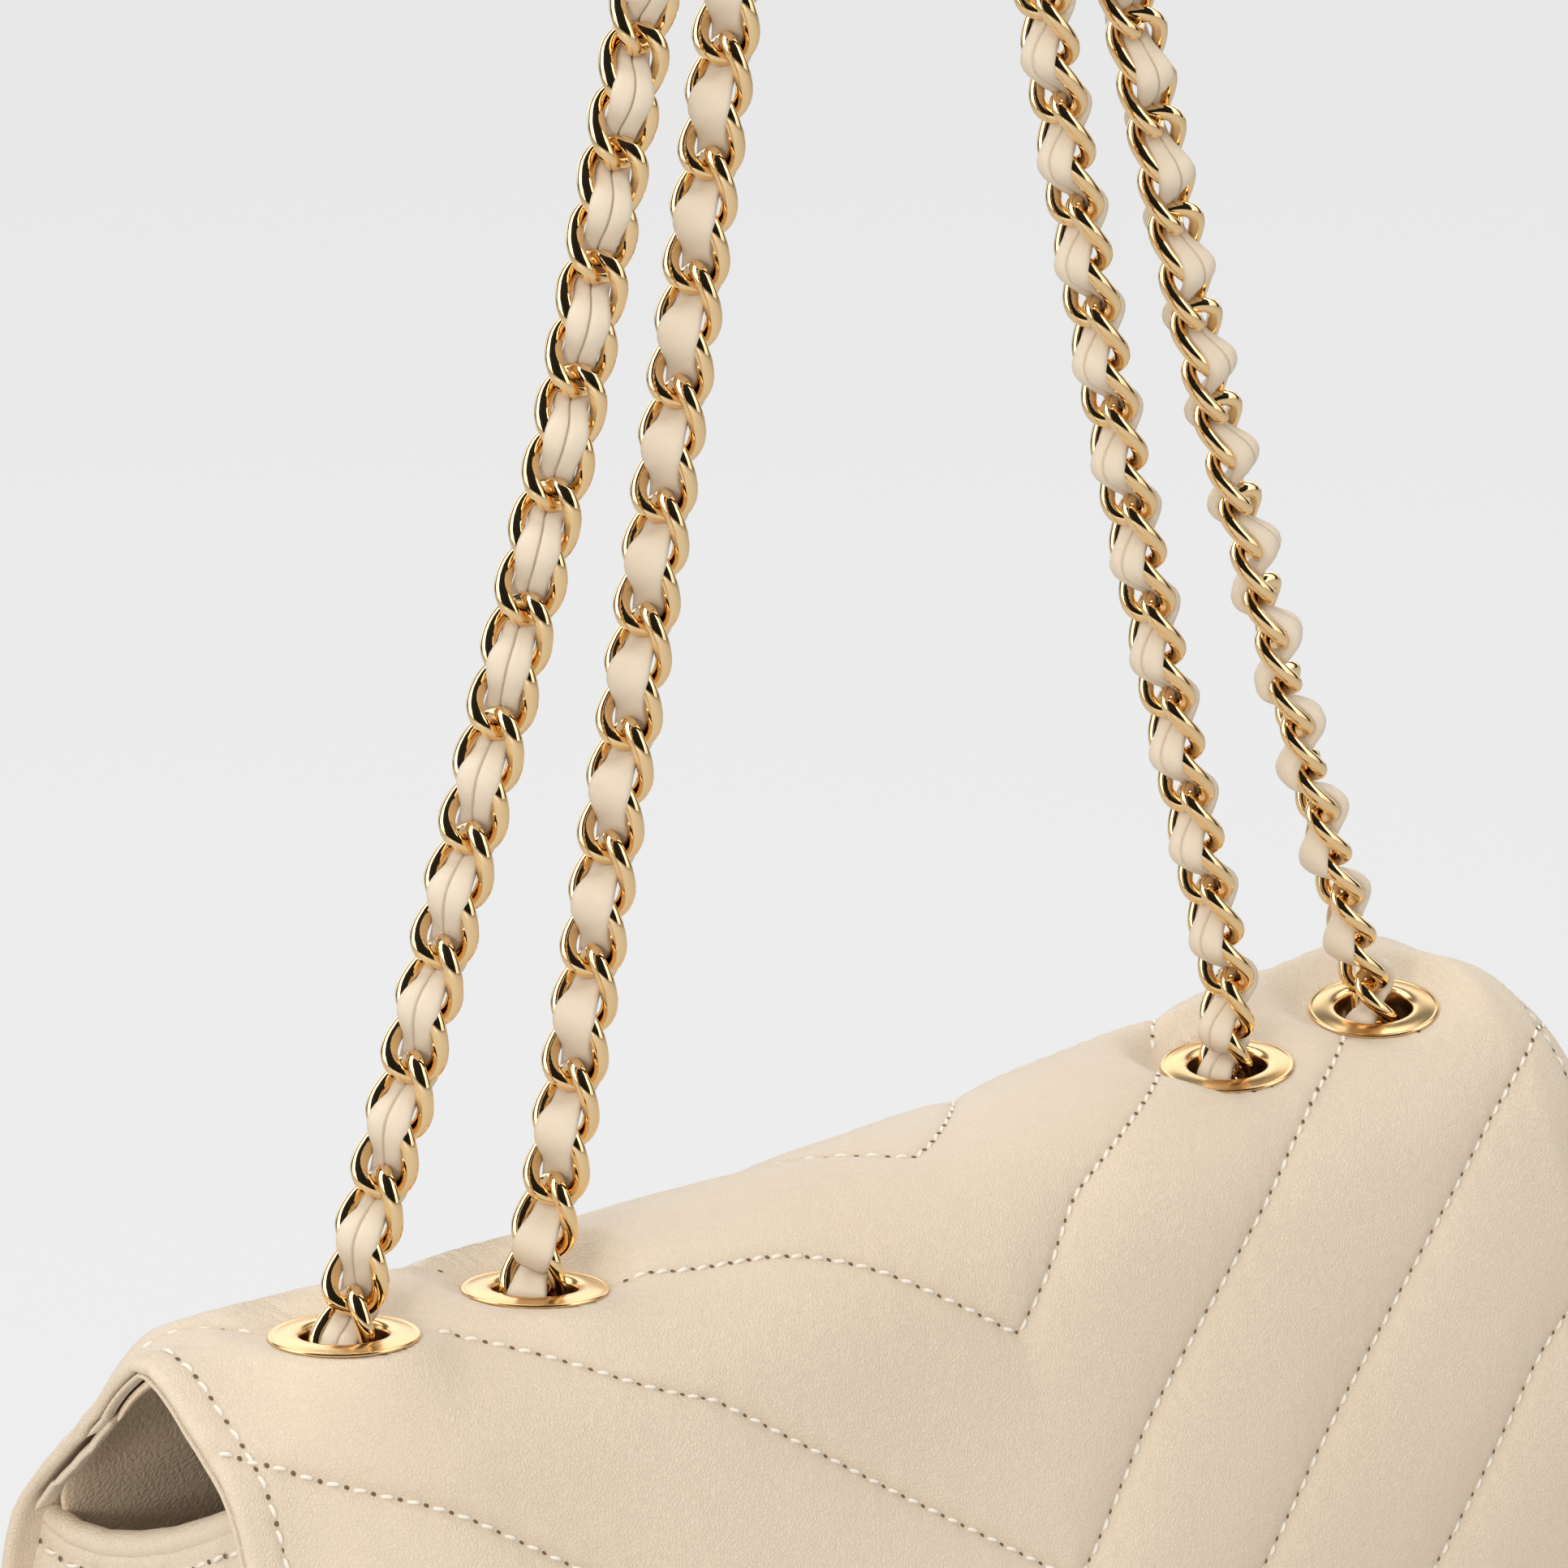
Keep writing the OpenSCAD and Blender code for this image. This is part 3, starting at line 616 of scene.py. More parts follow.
def on_bag(path, x, s, lift=0.0, seat=None):
    """Points on a line over the crown, lifted along its normal. seat is the height
    on the eyelets' axes to which the leather is clamped there."""
    p, n = path.at(s)
    x = np.broadcast_to(np.asarray(x, float), p.shape[:-1])
    points = np.stack([x, p[..., 0] + n[..., 0] * lift, p[..., 1] + n[..., 1] * lift], -1)
    away, height, way = from_eyelets(points)
    moved = settle(points)
    moved[..., 1] += (points[..., 1] - moved[..., 1]) * (1 - smooth_step(*SEAT_HOLDS, away))
    points = moved
    if seat is not None:
        away, height, way = from_eyelets(points)
        down = (seat - height) * (1 - smooth_step(*SEAT_CLAMPS, away))
        points = points + down[..., None] * way
    return points


def shell(top, bottom, faces, shared, layers=None):
    """A closed skin of two faces of points, which share the points of its edge."""
    count = len(top)
    under = np.arange(count)
    lone = np.where(~shared)[0]
    under[lone] = count + np.arange(len(lone))
    points = np.concatenate([top, bottom[lone]])
    edges = {}
    for face in faces:
        for a, b in zip(face, face[1:] + face[:1]):
            edges[(a, b)] = edges.get((a, b), 0) + 1
    both = [tuple(face) for face in faces]
    both += [tuple(int(under[i]) for i in reversed(face)) for face in faces]
    for a, b in edges:
        if (b, a) not in edges:
            ring = [b, a, int(under[a]), int(under[b])]
            ring = [i for k, i in enumerate(ring) if i != ring[k - 1]]
            if len(set(ring)) >= 3:
                both.append(tuple(ring))
    used = sorted({i for face in both for i in face})
    order = {i: k for k, i in enumerate(used)}
    values = {}
    for key, value in (layers or {}).items():
        values[key] = np.concatenate([value, np.zeros(len(lone))])[used]
    return points[used], [tuple(order[i] for i in face) for face in both], values


def merged_grid(x, s):
    """Numbers for the points of a grid in which a row may meet the one before it,
    and the place of each point."""
    same = np.abs(np.diff(s, axis=0)) < 1e-6
    ids = np.zeros(s.shape, int)
    ids[0] = np.arange(s.shape[1])
    number = s.shape[1]
    for i in range(1, s.shape[0]):
        fresh = ~same[i - 1]
        ids[i] = ids[i - 1]
        ids[i][fresh] = number + np.arange(fresh.sum())
        number += int(fresh.sum())
    flat_x, flat_s = np.zeros(number), np.zeros(number)
    flat_x[ids.ravel()] = np.broadcast_to(x[None, :], s.shape).ravel()
    flat_s[ids.ravel()] = s.ravel()
    return ids, flat_x, flat_s


def rounded(edge, reach):
    """How full a rounded edge is at a distance in from it."""
    return np.sqrt(1 - (1 - np.clip(edge / reach, 0, 1)) ** 2)


def grid_faces(ids, drop=None):
    """Faces of a grid of point numbers, in which neighbours may be one point."""
    faces = []
    rows, columns = ids.shape
    for i in range(rows - 1):
        for j in range(columns - 1):
            ring = [int(ids[i, j]), int(ids[i + 1, j]), int(ids[i + 1, j + 1]), int(ids[i, j + 1])]
            ring = [a for k, a in enumerate(ring) if a != ring[k - 1]]
            if len(ring) >= 3 and not (drop is not None and drop[ring].any()):
                faces.append(ring)
    return faces


# Steps of the mesh in from an edge, and away from a seam
EDGE_STEPS = np.array([0.0, 0.15, 0.4, 0.8, 1.3, 2.0, 2.8])
SEAM_STEPS = np.array([0.0, 0.35, 0.8, 1.5, 2.5, 4.0, 6.0, 8.5, 11.5]) / ACROSS
EDGE_ROUND = 1.4
# The leather's share of thickness at its edge
EDGE_THIN = 0.74
# How far the mesh's rows stay off the steps at an edge, and stitches off the edge
ROWS_CLEAR = 0.6
STITCH_CLEAR = 0.8
STITCH_EDGE = 0.9
# The hole that an eyelet's barrel passes, and how near to one the rows may run
EYELET_HOLE_R = 7.4
EYELET_CLEAR_R = 12.2
# Stitches across the bag, along the edge's row, and the row's inset
STITCH_X = 3.2
EDGE_STITCH = 3.72
EDGE_ROW = 5.3
# Loft of the padding, and how far the crown presses it flat
PAD = 1.7
PILLOW_POWER = 2.8
EDGE_LOFT = 0.14
EDGE_LOFT_WAY = (6.6, 17)
CROWN_LOFT = 0.45
CROWN_PRESS = 0.62
CROWN_PRESS_S = (2, 17)
# Depth and half width of a seam's groove, how much deeper it is at a stitch, and
# the same for the row along the edge
GROOVE = 0.22
GROOVE_AT_STITCH = 0.16
GROOVE_W = 0.8
EDGE_GROOVE = 0.34
EDGE_GROOVE_W = 0.75
PUCKER = 0.11
PUCKER_REACH = 3.2
# The slack of the leather over the padding, broad and fine
SLACK = 0.55
FINE_SLACK = 0.16
# How wide the shade in a seam is, and in the row along the edge
SEAM_SHADE = 0.9
EDGE_SHADE = 0.8

# How far the seams are pulled forward where they near the crown
PULL = np.array([
    (-135, -2.0), (-121, -2.5), (-113, 0.0), (-105, 3.5), (-97, 4.2), (-88, 5.0), (-80, 6.0), (-74, 9.0),
    (-69, 12.0), (-63, 15.3), (-57, 15.5), (-50, 13.0), (-42, 8.0), (-34, 4.0), (-20, 1.0), (0, 5.6),
    (8, 7.2), (16, 8.0), (30, 6.5), (51, 6.0), (75, 0.0), (135, 0.0)], float)
# From where down the flap the pull fades and over what way, and how much less both
# are on the right
PULL_START = 8
PULL_RUN = 20
PULL_START_LESS = 7
PULL_RUN_LESS = 4
PULL_SIDE_X = (-45, -10)
# The pull comes in behind the crown between these places
PULL_BEHIND_S = (-42, -8)
# Low on the right the seams are pulled back this far
LOW_PULL = 3.2


def row_pull(x, s):
    """Shift of the seams from straight chevrons."""
    x, s = np.asarray(x, float), np.asarray(s, float)
    side = smooth_step(*PULL_SIDE_X, x)
    start, run = PULL_START - PULL_START_LESS * side, PULL_RUN - PULL_RUN_LESS * side
    fade = 1 - np.clip((s - start) / run, 0, 1)
    low = -LOW_PULL * smooth_step(0, 25, x) * smooth_step(128, 105, x)
    low = low * smooth_step(5, 22, s) * smooth_step(100, 55, s)
    return softened(PULL, x) * fade * smooth_step(*PULL_BEHIND_S, s) + low


def row_at(v, x, crowned):
    """Where the line of measure v across the chevrons crosses the column x."""
    plain = v - SLOPE * apex_round(x)
    s = plain
    for _ in range(40 * crowned):
        s = plain + row_pull(x, s)
    return s


def seam_distance(x, s, crowned):
    """Distance from the nearest chevron seam."""
    v = s + SLOPE * apex_round(x) - crowned * row_pull(x, s)
    k = np.round((v - ROW_START) / ROW_GAP)
    return np.abs(v - ROW_START - k * ROW_GAP) * ACROSS


def relief(x, s, edge, crowned=1):
    """Height of the padding and the seams that draw it in."""
    d = seam_distance(x, s, crowned)
    half = ROW_GAP * ACROSS / 2
    pillow = 1 - (1 - np.clip(d / half, 0, 1)) ** PILLOW_POWER
    loft = EDGE_LOFT + (1 - EDGE_LOFT) * smooth_step(*EDGE_LOFT_WAY, edge)
    crown = 1 - crowned * CROWN_PRESS * hump(np.asarray(s, float), *CROWN_PRESS_S)
    height = PAD * (pillow * crown + CROWN_LOFT * (1 - crown)) * loft * smooth_step(0.0, 4.0, edge)
    stitch = 0.5 + 0.5 * np.cos(2 * math.pi * np.asarray(x) / STITCH_X)
    groove = (GROOVE + GROOVE_AT_STITCH * stitch) * hump(d, 0, GROOVE_W)
    height = height - groove * crown * smooth_step(0.4, 2.0, edge)
    height = height - EDGE_GROOVE * hump(edge, EDGE_ROW, EDGE_GROOVE_W)
    pucker = np.sin(2 * math.pi * np.asarray(x) / STITCH_X * 0.5 + 5 * drift_noise(3, x, s, 9.0))
    height = height + PUCKER * crown * pucker * hump(d, 0, PUCKER_REACH) * smooth_step(0.4, 1.4, d)
    slack = drift_noise(5, x, s, 41.0) * SLACK + drift_noise(7, x + 0.6 * s, s, 17.0) * FINE_SLACK
    return height + slack * smooth_step(2.0, 14.0, edge)


def outline_edge(x, s, half, low, high, corner):
    """Distance in from the edge of leather that ends square behind and with
    rounded corners in front."""
    qx = np.abs(x) - (half - corner)
    qs = s - (high - corner)
    outside = np.hypot(np.maximum(qx, 0), np.maximum(qs, 0)) + np.minimum(np.maximum(qx, qs), 0)
    return np.maximum(np.minimum(corner - outside, s - low), 0.0)


# How far behind the eyelets' line the back begins and ends to be drawn in
BACK_DRAWN = (48.0, 80.0)


class Cut:
    """A piece of leather: its outline on a line over the bag. The back is narrower,
    and drawn says between which places it is drawn in."""

    def __init__(self, path, half, low, high, corner, narrow=0.0, drawn=BACK_DRAWN):
        self.path, self.half, self.low, self.high, self.corner = path, half, low, high, corner
        self.narrow = narrow
        self.drawn = drawn
        self.crowned = int(corner > 0)

    def edge(self, x, s):
        return outline_edge(x, s, self.half, self.low, self.high, self.corner)

    def end(self, x):
        """Where a column of the leather ends in front."""
        if self.corner <= 0:
            return np.full_like(np.asarray(x, float), self.high)
        over = np.clip(np.abs(x) - (self.half - self.corner), 0, self.corner)
        return self.high - self.corner + np.sqrt(self.corner ** 2 - over ** 2)

    def place(self, x, s, lift, seat=None):
        """Points of the piece on the bag, its back drawn in to the gussets."""
        drawn = 1 - self.narrow / self.half * smooth_step(*self.drawn, -np.asarray(s, float))
        return on_bag(self.path, np.asarray(x) * drawn, s, lift, seat)

    def outside(self, x, s, deepest):
        """Points of the outer face with its padding and seams."""
        edge = self.edge(x, s)
        return self.place(x, s, relief(x, s, edge, self.crowned) - deepest, FACE_SEAT)

    def frame_at(self, x, s, deepest):
        """A point of the outer face, with the way across, along and out of it."""
        step = 0.3
        p = self.outside(x, s, deepest)
        px = self.outside(x + step, s, deepest) - self.outside(x - step, s, deepest)
        ps = self.outside(x, s + step, deepest) - self.outside(x, s - step, deepest)
        return p, px / (2 * step), ps / (2 * step), unit(np.cross(ps, px))


def quilted(name, cut, thick, material, deepest=0.0, column=0.8, eyelets=True):
    """A padded skin with chevron seams as grooves in its outer face."""
    reach = cut.half - EDGE_STEPS[-1] - column
    count = int(reach // column)
    core = np.arange(-count, count + 1) * column
    ends = cut.half - EDGE_STEPS
    x = np.concatenate([-ends, core, ends[::-1]])
    low_v, high_v = cut.low, cut.high + SLOPE * cut.half
    rows = []
    for k in range(int((low_v - ROW_START) // ROW_GAP) - 1, int((high_v - ROW_START) // ROW_GAP) + 2):
        v = ROW_START + k * ROW_GAP
        rows += [v + a for a in SEAM_STEPS] + [v - a for a in SEAM_STEPS] + [v + ROW_GAP / 2]
    rows = np.unique(np.round(rows, 5))
    finish = cut.end(x)
    s = row_at(rows[:, None], x[None, :], cut.crowned)
    near = cut.low + EDGE_STEPS[-1] + ROWS_CLEAR
    far = finish[None, :] - EDGE_STEPS[-1] - ROWS_CLEAR
    s = np.clip(s, near, far)
    first = np.repeat((cut.low + EDGE_STEPS)[:, None], len(x), 1)
    last = finish[None, :] - EDGE_STEPS[::-1][:, None]
    s = np.concatenate([first, s, last])
    ids, flat_x, flat_s = merged_grid(x, s)
    edge = cut.edge(flat_x, flat_s)
    share = rounded(edge, EDGE_ROUND)
    thick = thick * (EDGE_THIN + (1 - EDGE_THIN) * smooth_step(1, 9, edge))
    middle = -thick / 2
    out = relief(flat_x, flat_s, edge, cut.crowned) - deepest
    top = cut.place(flat_x, flat_s, middle + (out - middle) * share, FACE_SEAT if eyelets else None)
    bottom = cut.place(flat_x, flat_s, middle - thick / 2 * share, UNDER_SEAT if eyelets else None)
    drop = from_eyelets(top)[0] < EYELET_HOLE_R if eyelets else None
    faces = grid_faces(ids, drop)
    d = seam_distance(flat_x, flat_s, cut.crowned)
    # The seam layer is painted shade for the material: it is 1 in the seams' grooves and in the row along the
    # edge.
    seam = np.maximum(hump(d, 0, SEAM_SHADE), hump(edge, EDGE_ROW, EDGE_SHADE))
    points, faces, layers = shell(top, bottom, faces, edge < 1e-6, {"seam": seam})
    return make(name, points, faces, material, layers)


# Rings of a stitch: the share of the way from its middle to its end, the thread's
# radius, and how high it stands over the leather
STITCH_RINGS = ((-1.0, 0.12, -0.40), (-0.80, 0.25, -0.10), (-0.35, 0.32, 0.03), (0.35, 0.32, 0.03),
                (0.80, 0.25, -0.10), (1.0, 0.12, -0.40))
STITCH_L = 2.0
STITCH_SLANT = 0.16
STITCH_SIDES = 6
PRICK_R = 0.39
PRICK_SIDES = 8
# Both stand a little off the smooth face, because the mesh cuts its hollows short
LIFTED = 0.1


def repeated(faces, per, count):
    """The faces of one small part, once for each of its copies."""
    return [tuple(k * per + i for i in face) for k in range(count) for face in faces]


def dashes(places, alongs, outs):
    """Stitches at places, each a short round thread that dips in at its ends."""
    alongs = unit(alongs)
    alongs = unit(alongs + STITCH_SLANT * np.cross(outs, alongs))
    across = np.cross(outs, alongs)
    cosine, sine = ring_round(STITCH_SIDES)
    rings = []
    for share, radius, rise in STITCH_RINGS:
        centre = places + alongs * (share * STITCH_L / 2) + outs * (rise + LIFTED)
        rings.append(centre[:, None, :] + radius * (cosine * across[:, None, :] + sine * outs[:, None, :]))
    one = tube_faces(len(STITCH_RINGS), STITCH_SIDES)
    faces = repeated(one, len(STITCH_RINGS) * STITCH_SIDES, len(places))
    return np.stack(rings, 1).reshape(-1, 3), faces


def pricks(places, alongs, outs):
    """Needle holes as small lenses sunk in the leather, dark with painted shade that stands in for the shade
    inside the holes.
    """
    alongs = unit(alongs)
    across = np.cross(outs, alongs)
    cosine, sine = ring_round(PRICK_SIDES)
    places = places + LIFTED * outs
    rim = places[:, None, :] + PRICK_R * (cosine * across[:, None, :] + sine * alongs[:, None, :])
    points = np.concatenate([rim, (places + 0.08 * outs)[:, None, :], (places - 0.2 * outs)[:, None, :]], 1)
    one = []
    for j in range(PRICK_SIDES):
        one.append((j, (j + 1) % PRICK_SIDES, PRICK_SIDES))
    for j in range(PRICK_SIDES):
        one.append(((j + 1) % PRICK_SIDES, j, PRICK_SIDES + 1))
    return points.reshape(-1, 3), repeated(one, PRICK_SIDES + 2, len(places))


def chevron_places(cut, shift):
    """Stitch places along the chevrons, or the holes between them."""
    xs, ss = [], []
    for k in range(int((cut.low - ROW_START) // ROW_GAP) - 1,
                   int((cut.high + SLOPE * cut.half - ROW_START) // ROW_GAP) + 2):
        steps = int(cut.half / STITCH_X)
        x = (np.arange(-steps - 1, steps + 1) + shift) * STITCH_X
        xs.append(x)
        ss.append(row_at(ROW_START + k * ROW_GAP, x, cut.crowned))
    x, s = np.concatenate(xs), np.concatenate(ss)
    inside = (np.abs(x) < cut.half - STITCH_CLEAR) & (s > cut.low + STITCH_CLEAR)
    x, s = x[inside], s[inside]
    keep = cut.edge(x, s) > STITCH_EDGE
    return x[keep], s[keep]


def edge_line(cut, inset, from_s, step):
    """Places along a row inset from the leather's edge."""
    r = cut.corner - inset
    half = cut.half - inset
    turn = [(-(cut.half - cut.corner) - r * math.cos(a), cut.high - cut.corner + r * math.sin(a))
            for a in np.linspace(0, math.pi / 2, 24)]
    line = np.array([(-half, from_s)] + turn + [(-x, s) for x, s in reversed(turn)] + [(half, from_s)])
    length = np.concatenate([[0], np.cumsum(np.linalg.norm(np.diff(line, axis=0), axis=1))])
    at = np.arange(0, length[-1], step)
    return np.interp(at, length, line[:, 0]), np.interp(at, length, line[:, 1])


def sewn(name, cut, deepest=0.0, edge_from=None, eyelets=True):
    """Thread and needle holes of a piece's seams, as two objects."""
    threads, holes = [], []
    for shift, store in ((0.5, threads), (0.0, holes)):
        x, s = chevron_places(cut, shift)
        p, px, ps, out = cut.frame_at(x, s, deepest)
        if eyelets:
            clear = from_eyelets(p)[0] > EYELET_CLEAR_R
            x, s, p, px, ps, out = x[clear], s[clear], p[clear], px[clear], ps[clear], out[clear]
        v = s + SLOPE * apex_round(x) - cut.crowned * row_pull(x, s)
        tilt = row_at(v, x + 0.5, cut.crowned) - row_at(v, x - 0.5, cut.crowned)
        along = px + ps * tilt[:, None]
        store.append((p, along, out))
    if edge_from is not None:
        x, s = edge_line(cut, EDGE_ROW, edge_from, EDGE_STITCH / 2)
        p, px, ps, out = cut.frame_at(x, s, deepest)
        along = np.gradient(p, axis=0)
        threads.append((p[1::2], along[1::2], out[1::2]))
        holes.append((p[::2], along[::2], out[::2]))
    thread = make(name + "_thread", *join([dashes(*t) for t in threads]), THREAD)
    hole = make(name + "_needle_holes", *join([pricks(*h) for h in holes]), HOLE, smooth=False)
    return thread, hole


def layer(name, cut, thick, material, step=1.6, holes=0.0):
    """A plain sheet along a line over the bag, with a rounded edge."""
    half, low, high = cut.half, cut.low, cut.high
    steps = EDGE_STEPS[:5] * thick / 2.6
    count = int((half - 2) / step)
    core = np.arange(-count, count + 1) * step
    x = np.concatenate([-(half - steps), core, (half - steps)[::-1]])
    rows = np.arange(low + 2, high - 2, step)
    finish = cut.end(x)
    s = np.clip(np.repeat(rows[:, None], len(x), 1), low + 1.5, finish[None, :] - 1.5)
    first = np.repeat((low + steps)[:, None], len(x), 1)
    s = np.concatenate([first, s, finish[None, :] - steps[::-1][:, None]])
    ids, flat_x, flat_s = merged_grid(x, s)
    edge = cut.edge(flat_x, flat_s)
    share = rounded(edge, thick / 2)
    top = cut.place(flat_x, flat_s, thick / 2 * share)
    bottom = cut.place(flat_x, flat_s, -thick / 2 * share)
    drop = from_eyelets(top)[0] < holes if holes else None
    points, faces, _ = shell(top, bottom, grid_faces(ids, drop), edge < 1e-6)
    return make(name, points, faces, material)


# Leather pieces

def bend_with_flap(piece):
    """Bakes the piece's transform into its points."""
    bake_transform(piece)


def front_path(depth):
    """From the front's rim down to the base."""
    face = -(BELLY_Y - FRONT_IN)
    y = -(BELLY_Y - depth)
    corner = (face + BASE_R, BASE_Z + BASE_R)
    pieces = side_pieces(-1, depth) + [
        ("line", (y, BELLY_Z), (y, corner[1]), (-1, 0)),
        ("arc", corner, BASE_R - (depth - FRONT_IN), -math.pi / 2, -math.pi)]
    return Path(pieces)


FLAP_CORNER = 28.0
# The row along the edge starts this far from the leather's lower end behind
EDGE_ROW_START = 14
SKIN_CUT = Cut(BAG, HALF_L, S_BASE, S_FLAP, FLAP_CORNER, narrow=HALF_L - BODY_HALF - 0.3)
skin = quilted("quilted_leather", SKIN_CUT, 2.7, CREAM)
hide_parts("back_panel", "flap_outer")
bend_with_flap(skin)

for piece in sewn("outer", SKIN_CUT, edge_from=S_BASE + EDGE_ROW_START):
    bend_with_flap(piece)

FRONT = front_path(FRONT_IN)
FRONT_CUT = Cut(FRONT, BODY_HALF, 0.0, float(FRONT.s[-1]), 0.0)


def front_edge(x, s):
    return np.maximum(np.minimum(np.minimum(FRONT_CUT.half - np.abs(x), s), FRONT_CUT.high - s), 0.0)


FRONT_CUT.edge = front_edge
FRONT_DEEP = PAD + 0.4
front = quilted("front_leather", FRONT_CUT, 2.2, CREAM, deepest=FRONT_DEEP, eyelets=False)
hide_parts("front_panel")
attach(front, "bag")
for piece in sewn("front", FRONT_CUT, deepest=FRONT_DEEP, eyelets=False):
    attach(piece, "bag")


LINING_T = 1.0
BARREL_HOLE_R = 7.0
LINER_DEEP = 3.6
STRIP_DEEP = 4.9
LINER = bag_path(LINER_DEEP)
LINER_CUT = Cut(LINER, 132.0, float(LINER.s[0]) + 0.5, float(LINER.s[-1]) - 9.5, 20.0, narrow=4.6,
                drawn=(30.0, 46.0))
liner = layer("main_lining", LINER_CUT, LINING_T, LINING, holes=BARREL_HOLE_R)
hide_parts("back_lining", "flap_lining")
(LINER.s[-1] - LINER.s[0] - 10) * MM
bend_with_flap(liner)

FRONT_LINER = front_path(FRONT_IN + 2.8)
FRONT_LINER_CUT = Cut(FRONT_LINER, 127.6, 1.0, float(FRONT_LINER.s[-1]) - 0.3, 0.0)
front_liner = layer("front_lining_leather", FRONT_LINER_CUT, LINING_T, LINING, step=3.0)
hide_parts("front_lining")
(FRONT_LINER.s[-1] - 1.3) * MM
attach(front_liner, "bag")

STRIP = bag_path(STRIP_DEEP)
strip = layer("eyelet_strip_leather", Cut(STRIP, 123.8, -12.0, 12.0, 0.0), 1.3, LINING, holes=BARREL_HOLE_R)
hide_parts("eyelet_strip")
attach(strip, "bag")

FACING_W = 12.0
FACING_STEPS = np.array([0, .15, .4, .8, 1.3, 2.5, 4, 6, 8, 10, 11, 11.6, 11.85, 12.0])
# At the open ends the facing is narrow and thin, and it widens down the flap
FACING_END_W = 2.8
FACING_END_HALF_T = 0.45
FACING_WIDENS = (8, 50)
# How much deeper than its edges its middle lies, where the ply is widest, is two
# thirds of this
FACING_SINKS = 0.65
FACING_SINKS_IN = (1, 9)


def facing(name, start, depth, thick, setback):
    """The inner ply that runs round the flap and along the crown's ends."""
    half, high, corner = HALF_L, S_FLAP, FLAP_CORNER
    step = 1.5
    base = [(-half, s, 1.0, 0.0) for s in np.arange(start, high - corner, step)]
    for a in np.linspace(0, math.pi / 2, 30):
        c, s = math.cos(a), math.sin(a)
        base.append((-(half - corner) - corner * c, high - corner + corner * s, c, -s))
    base += [(x, high, 0.0, -1.0) for x in np.arange(-(half - corner) + step, 0.1, step)]
    mirrored = [(-x, s, -nx, ns) for x, s, nx, ns in reversed(base) if x < -0.01]
    line = np.array(base + mirrored)
    steps = FACING_STEPS / FACING_W
    wide = FACING_END_W + (FACING_W - FACING_END_W) * smooth_step(*FACING_WIDENS, line[:, 1])
    inset = setback + steps[None, :] * wide[:, None]
    x = line[:, 0][:, None] + line[:, 2][:, None] * inset
    s = line[:, 1][:, None] + line[:, 3][:, None] * inset
    d = np.minimum(inset - setback, setback + wide[:, None] - inset)
    ends = np.minimum(np.arange(len(line)), np.arange(len(line))[::-1])
    share = rounded(d, 1.0)
    share[ends == 0] = 0
    half = FACING_END_HALF_T + (thick / 2 - FACING_END_HALF_T) * smooth_step(*FACING_WIDENS, line[:, 1])
    half = half[:, None]
    depth = depth + FACING_SINKS * smooth_step(*FACING_SINKS_IN, d)
    top = SKIN_CUT.place(x, s, -depth - half + half * share).reshape(-1, 3)
    bottom = SKIN_CUT.place(x, s, -depth - half - half * share).reshape(-1, 3)
    ids = np.arange(x.size).reshape(x.shape)[:, ::-1]
    points, faces, _ = shell(top, bottom, grid_faces(ids), (share == 0).ravel())
    return make(name, points, faces, CREAM_PLAIN)


face = facing("edge_facing", start=-24.0, depth=2.2, thick=1.4, setback=0.25)
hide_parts("flap_binding")
bend_with_flap(face)


END_PLY_STEPS = np.array([0, .15, .4, .8, 1.3, 2.5, 4, 6, 8, 9, 9.6, 9.85, 10.0])
END_PLY_DEEP = 3.5
END_PLY_HALF_T = 0.6


def end_ply(name, side):
    """The ply behind the crest at an open end, folded under the leather."""
    s = np.arange(-44.0, -18.0, 1.2)
    inset = 1.2 + END_PLY_STEPS * 0.34
    ss, ii = np.meshgrid(s, inset, indexing="ij")
    xx = side * (HALF_L - ii)
    d = np.minimum(np.minimum(ii - inset[0], inset[-1] - ii), np.minimum(ss - s[0], s[-1] - ss))
    share = rounded(d, 0.8)
    ripple = 0.2 * drift_noise(31, ss, ii, 7.0) * np.clip(d / 2, 0, 1)
    top = SKIN_CUT.place(xx, ss, -END_PLY_DEEP + END_PLY_HALF_T * share + ripple).reshape(-1, 3)
    bottom = SKIN_CUT.place(xx, ss, -END_PLY_DEEP - END_PLY_HALF_T * share + ripple).reshape(-1, 3)
    ids = np.arange(xx.size).reshape(xx.shape)
    points, faces, _ = shell(top, bottom, grid_faces(ids[:, ::-1] if side < 0 else ids), (share == 0).ravel())
    piece = make(name, points, faces, CREAM_PLAIN)
    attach(piece, "bag")


end_ply("left_end_ply", -1)
end_ply("right_end_ply", 1)


# Places of the gusset's slack rim, from the front to the back
GUSSET_RIM = np.array([(-15.6, -299.0), (-11.7, -301.0), (-7.0, -303.2), (-3.2, -305.2), (4.0, -308.6),
                       (11.6, -311.2), (18.0, -312.6), (24.0, -312.6), (28.0, -311.2), (31.2, -307.8)])


def end_profile(path, side):
    """A side's places at the end of the bag, as the soft bag lies there."""
    p = settle(np.stack([np.full(len(path.p), side * BODY_HALF), path.p[:, 0], path.p[:, 1]], 1))[:, 1:]
    order = np.argsort(p[:, 1])
    return p[order, 1], p[order, 0]


def side_profiles(depth, side):
    back = Path(side_pieces(1, depth) + [
        ("line", (BELLY_Y - depth, BELLY_Z), (BELLY_Y - depth, BASE_Z + BASE_R), (1, 0)),
        ("arc", (BELLY_Y - BASE_R, BASE_Z + BASE_R), BASE_R - depth, math.pi / 2, math.pi)])
    return end_profile(front_path(FRONT_IN + depth - 0.8), side), end_profile(back, side)


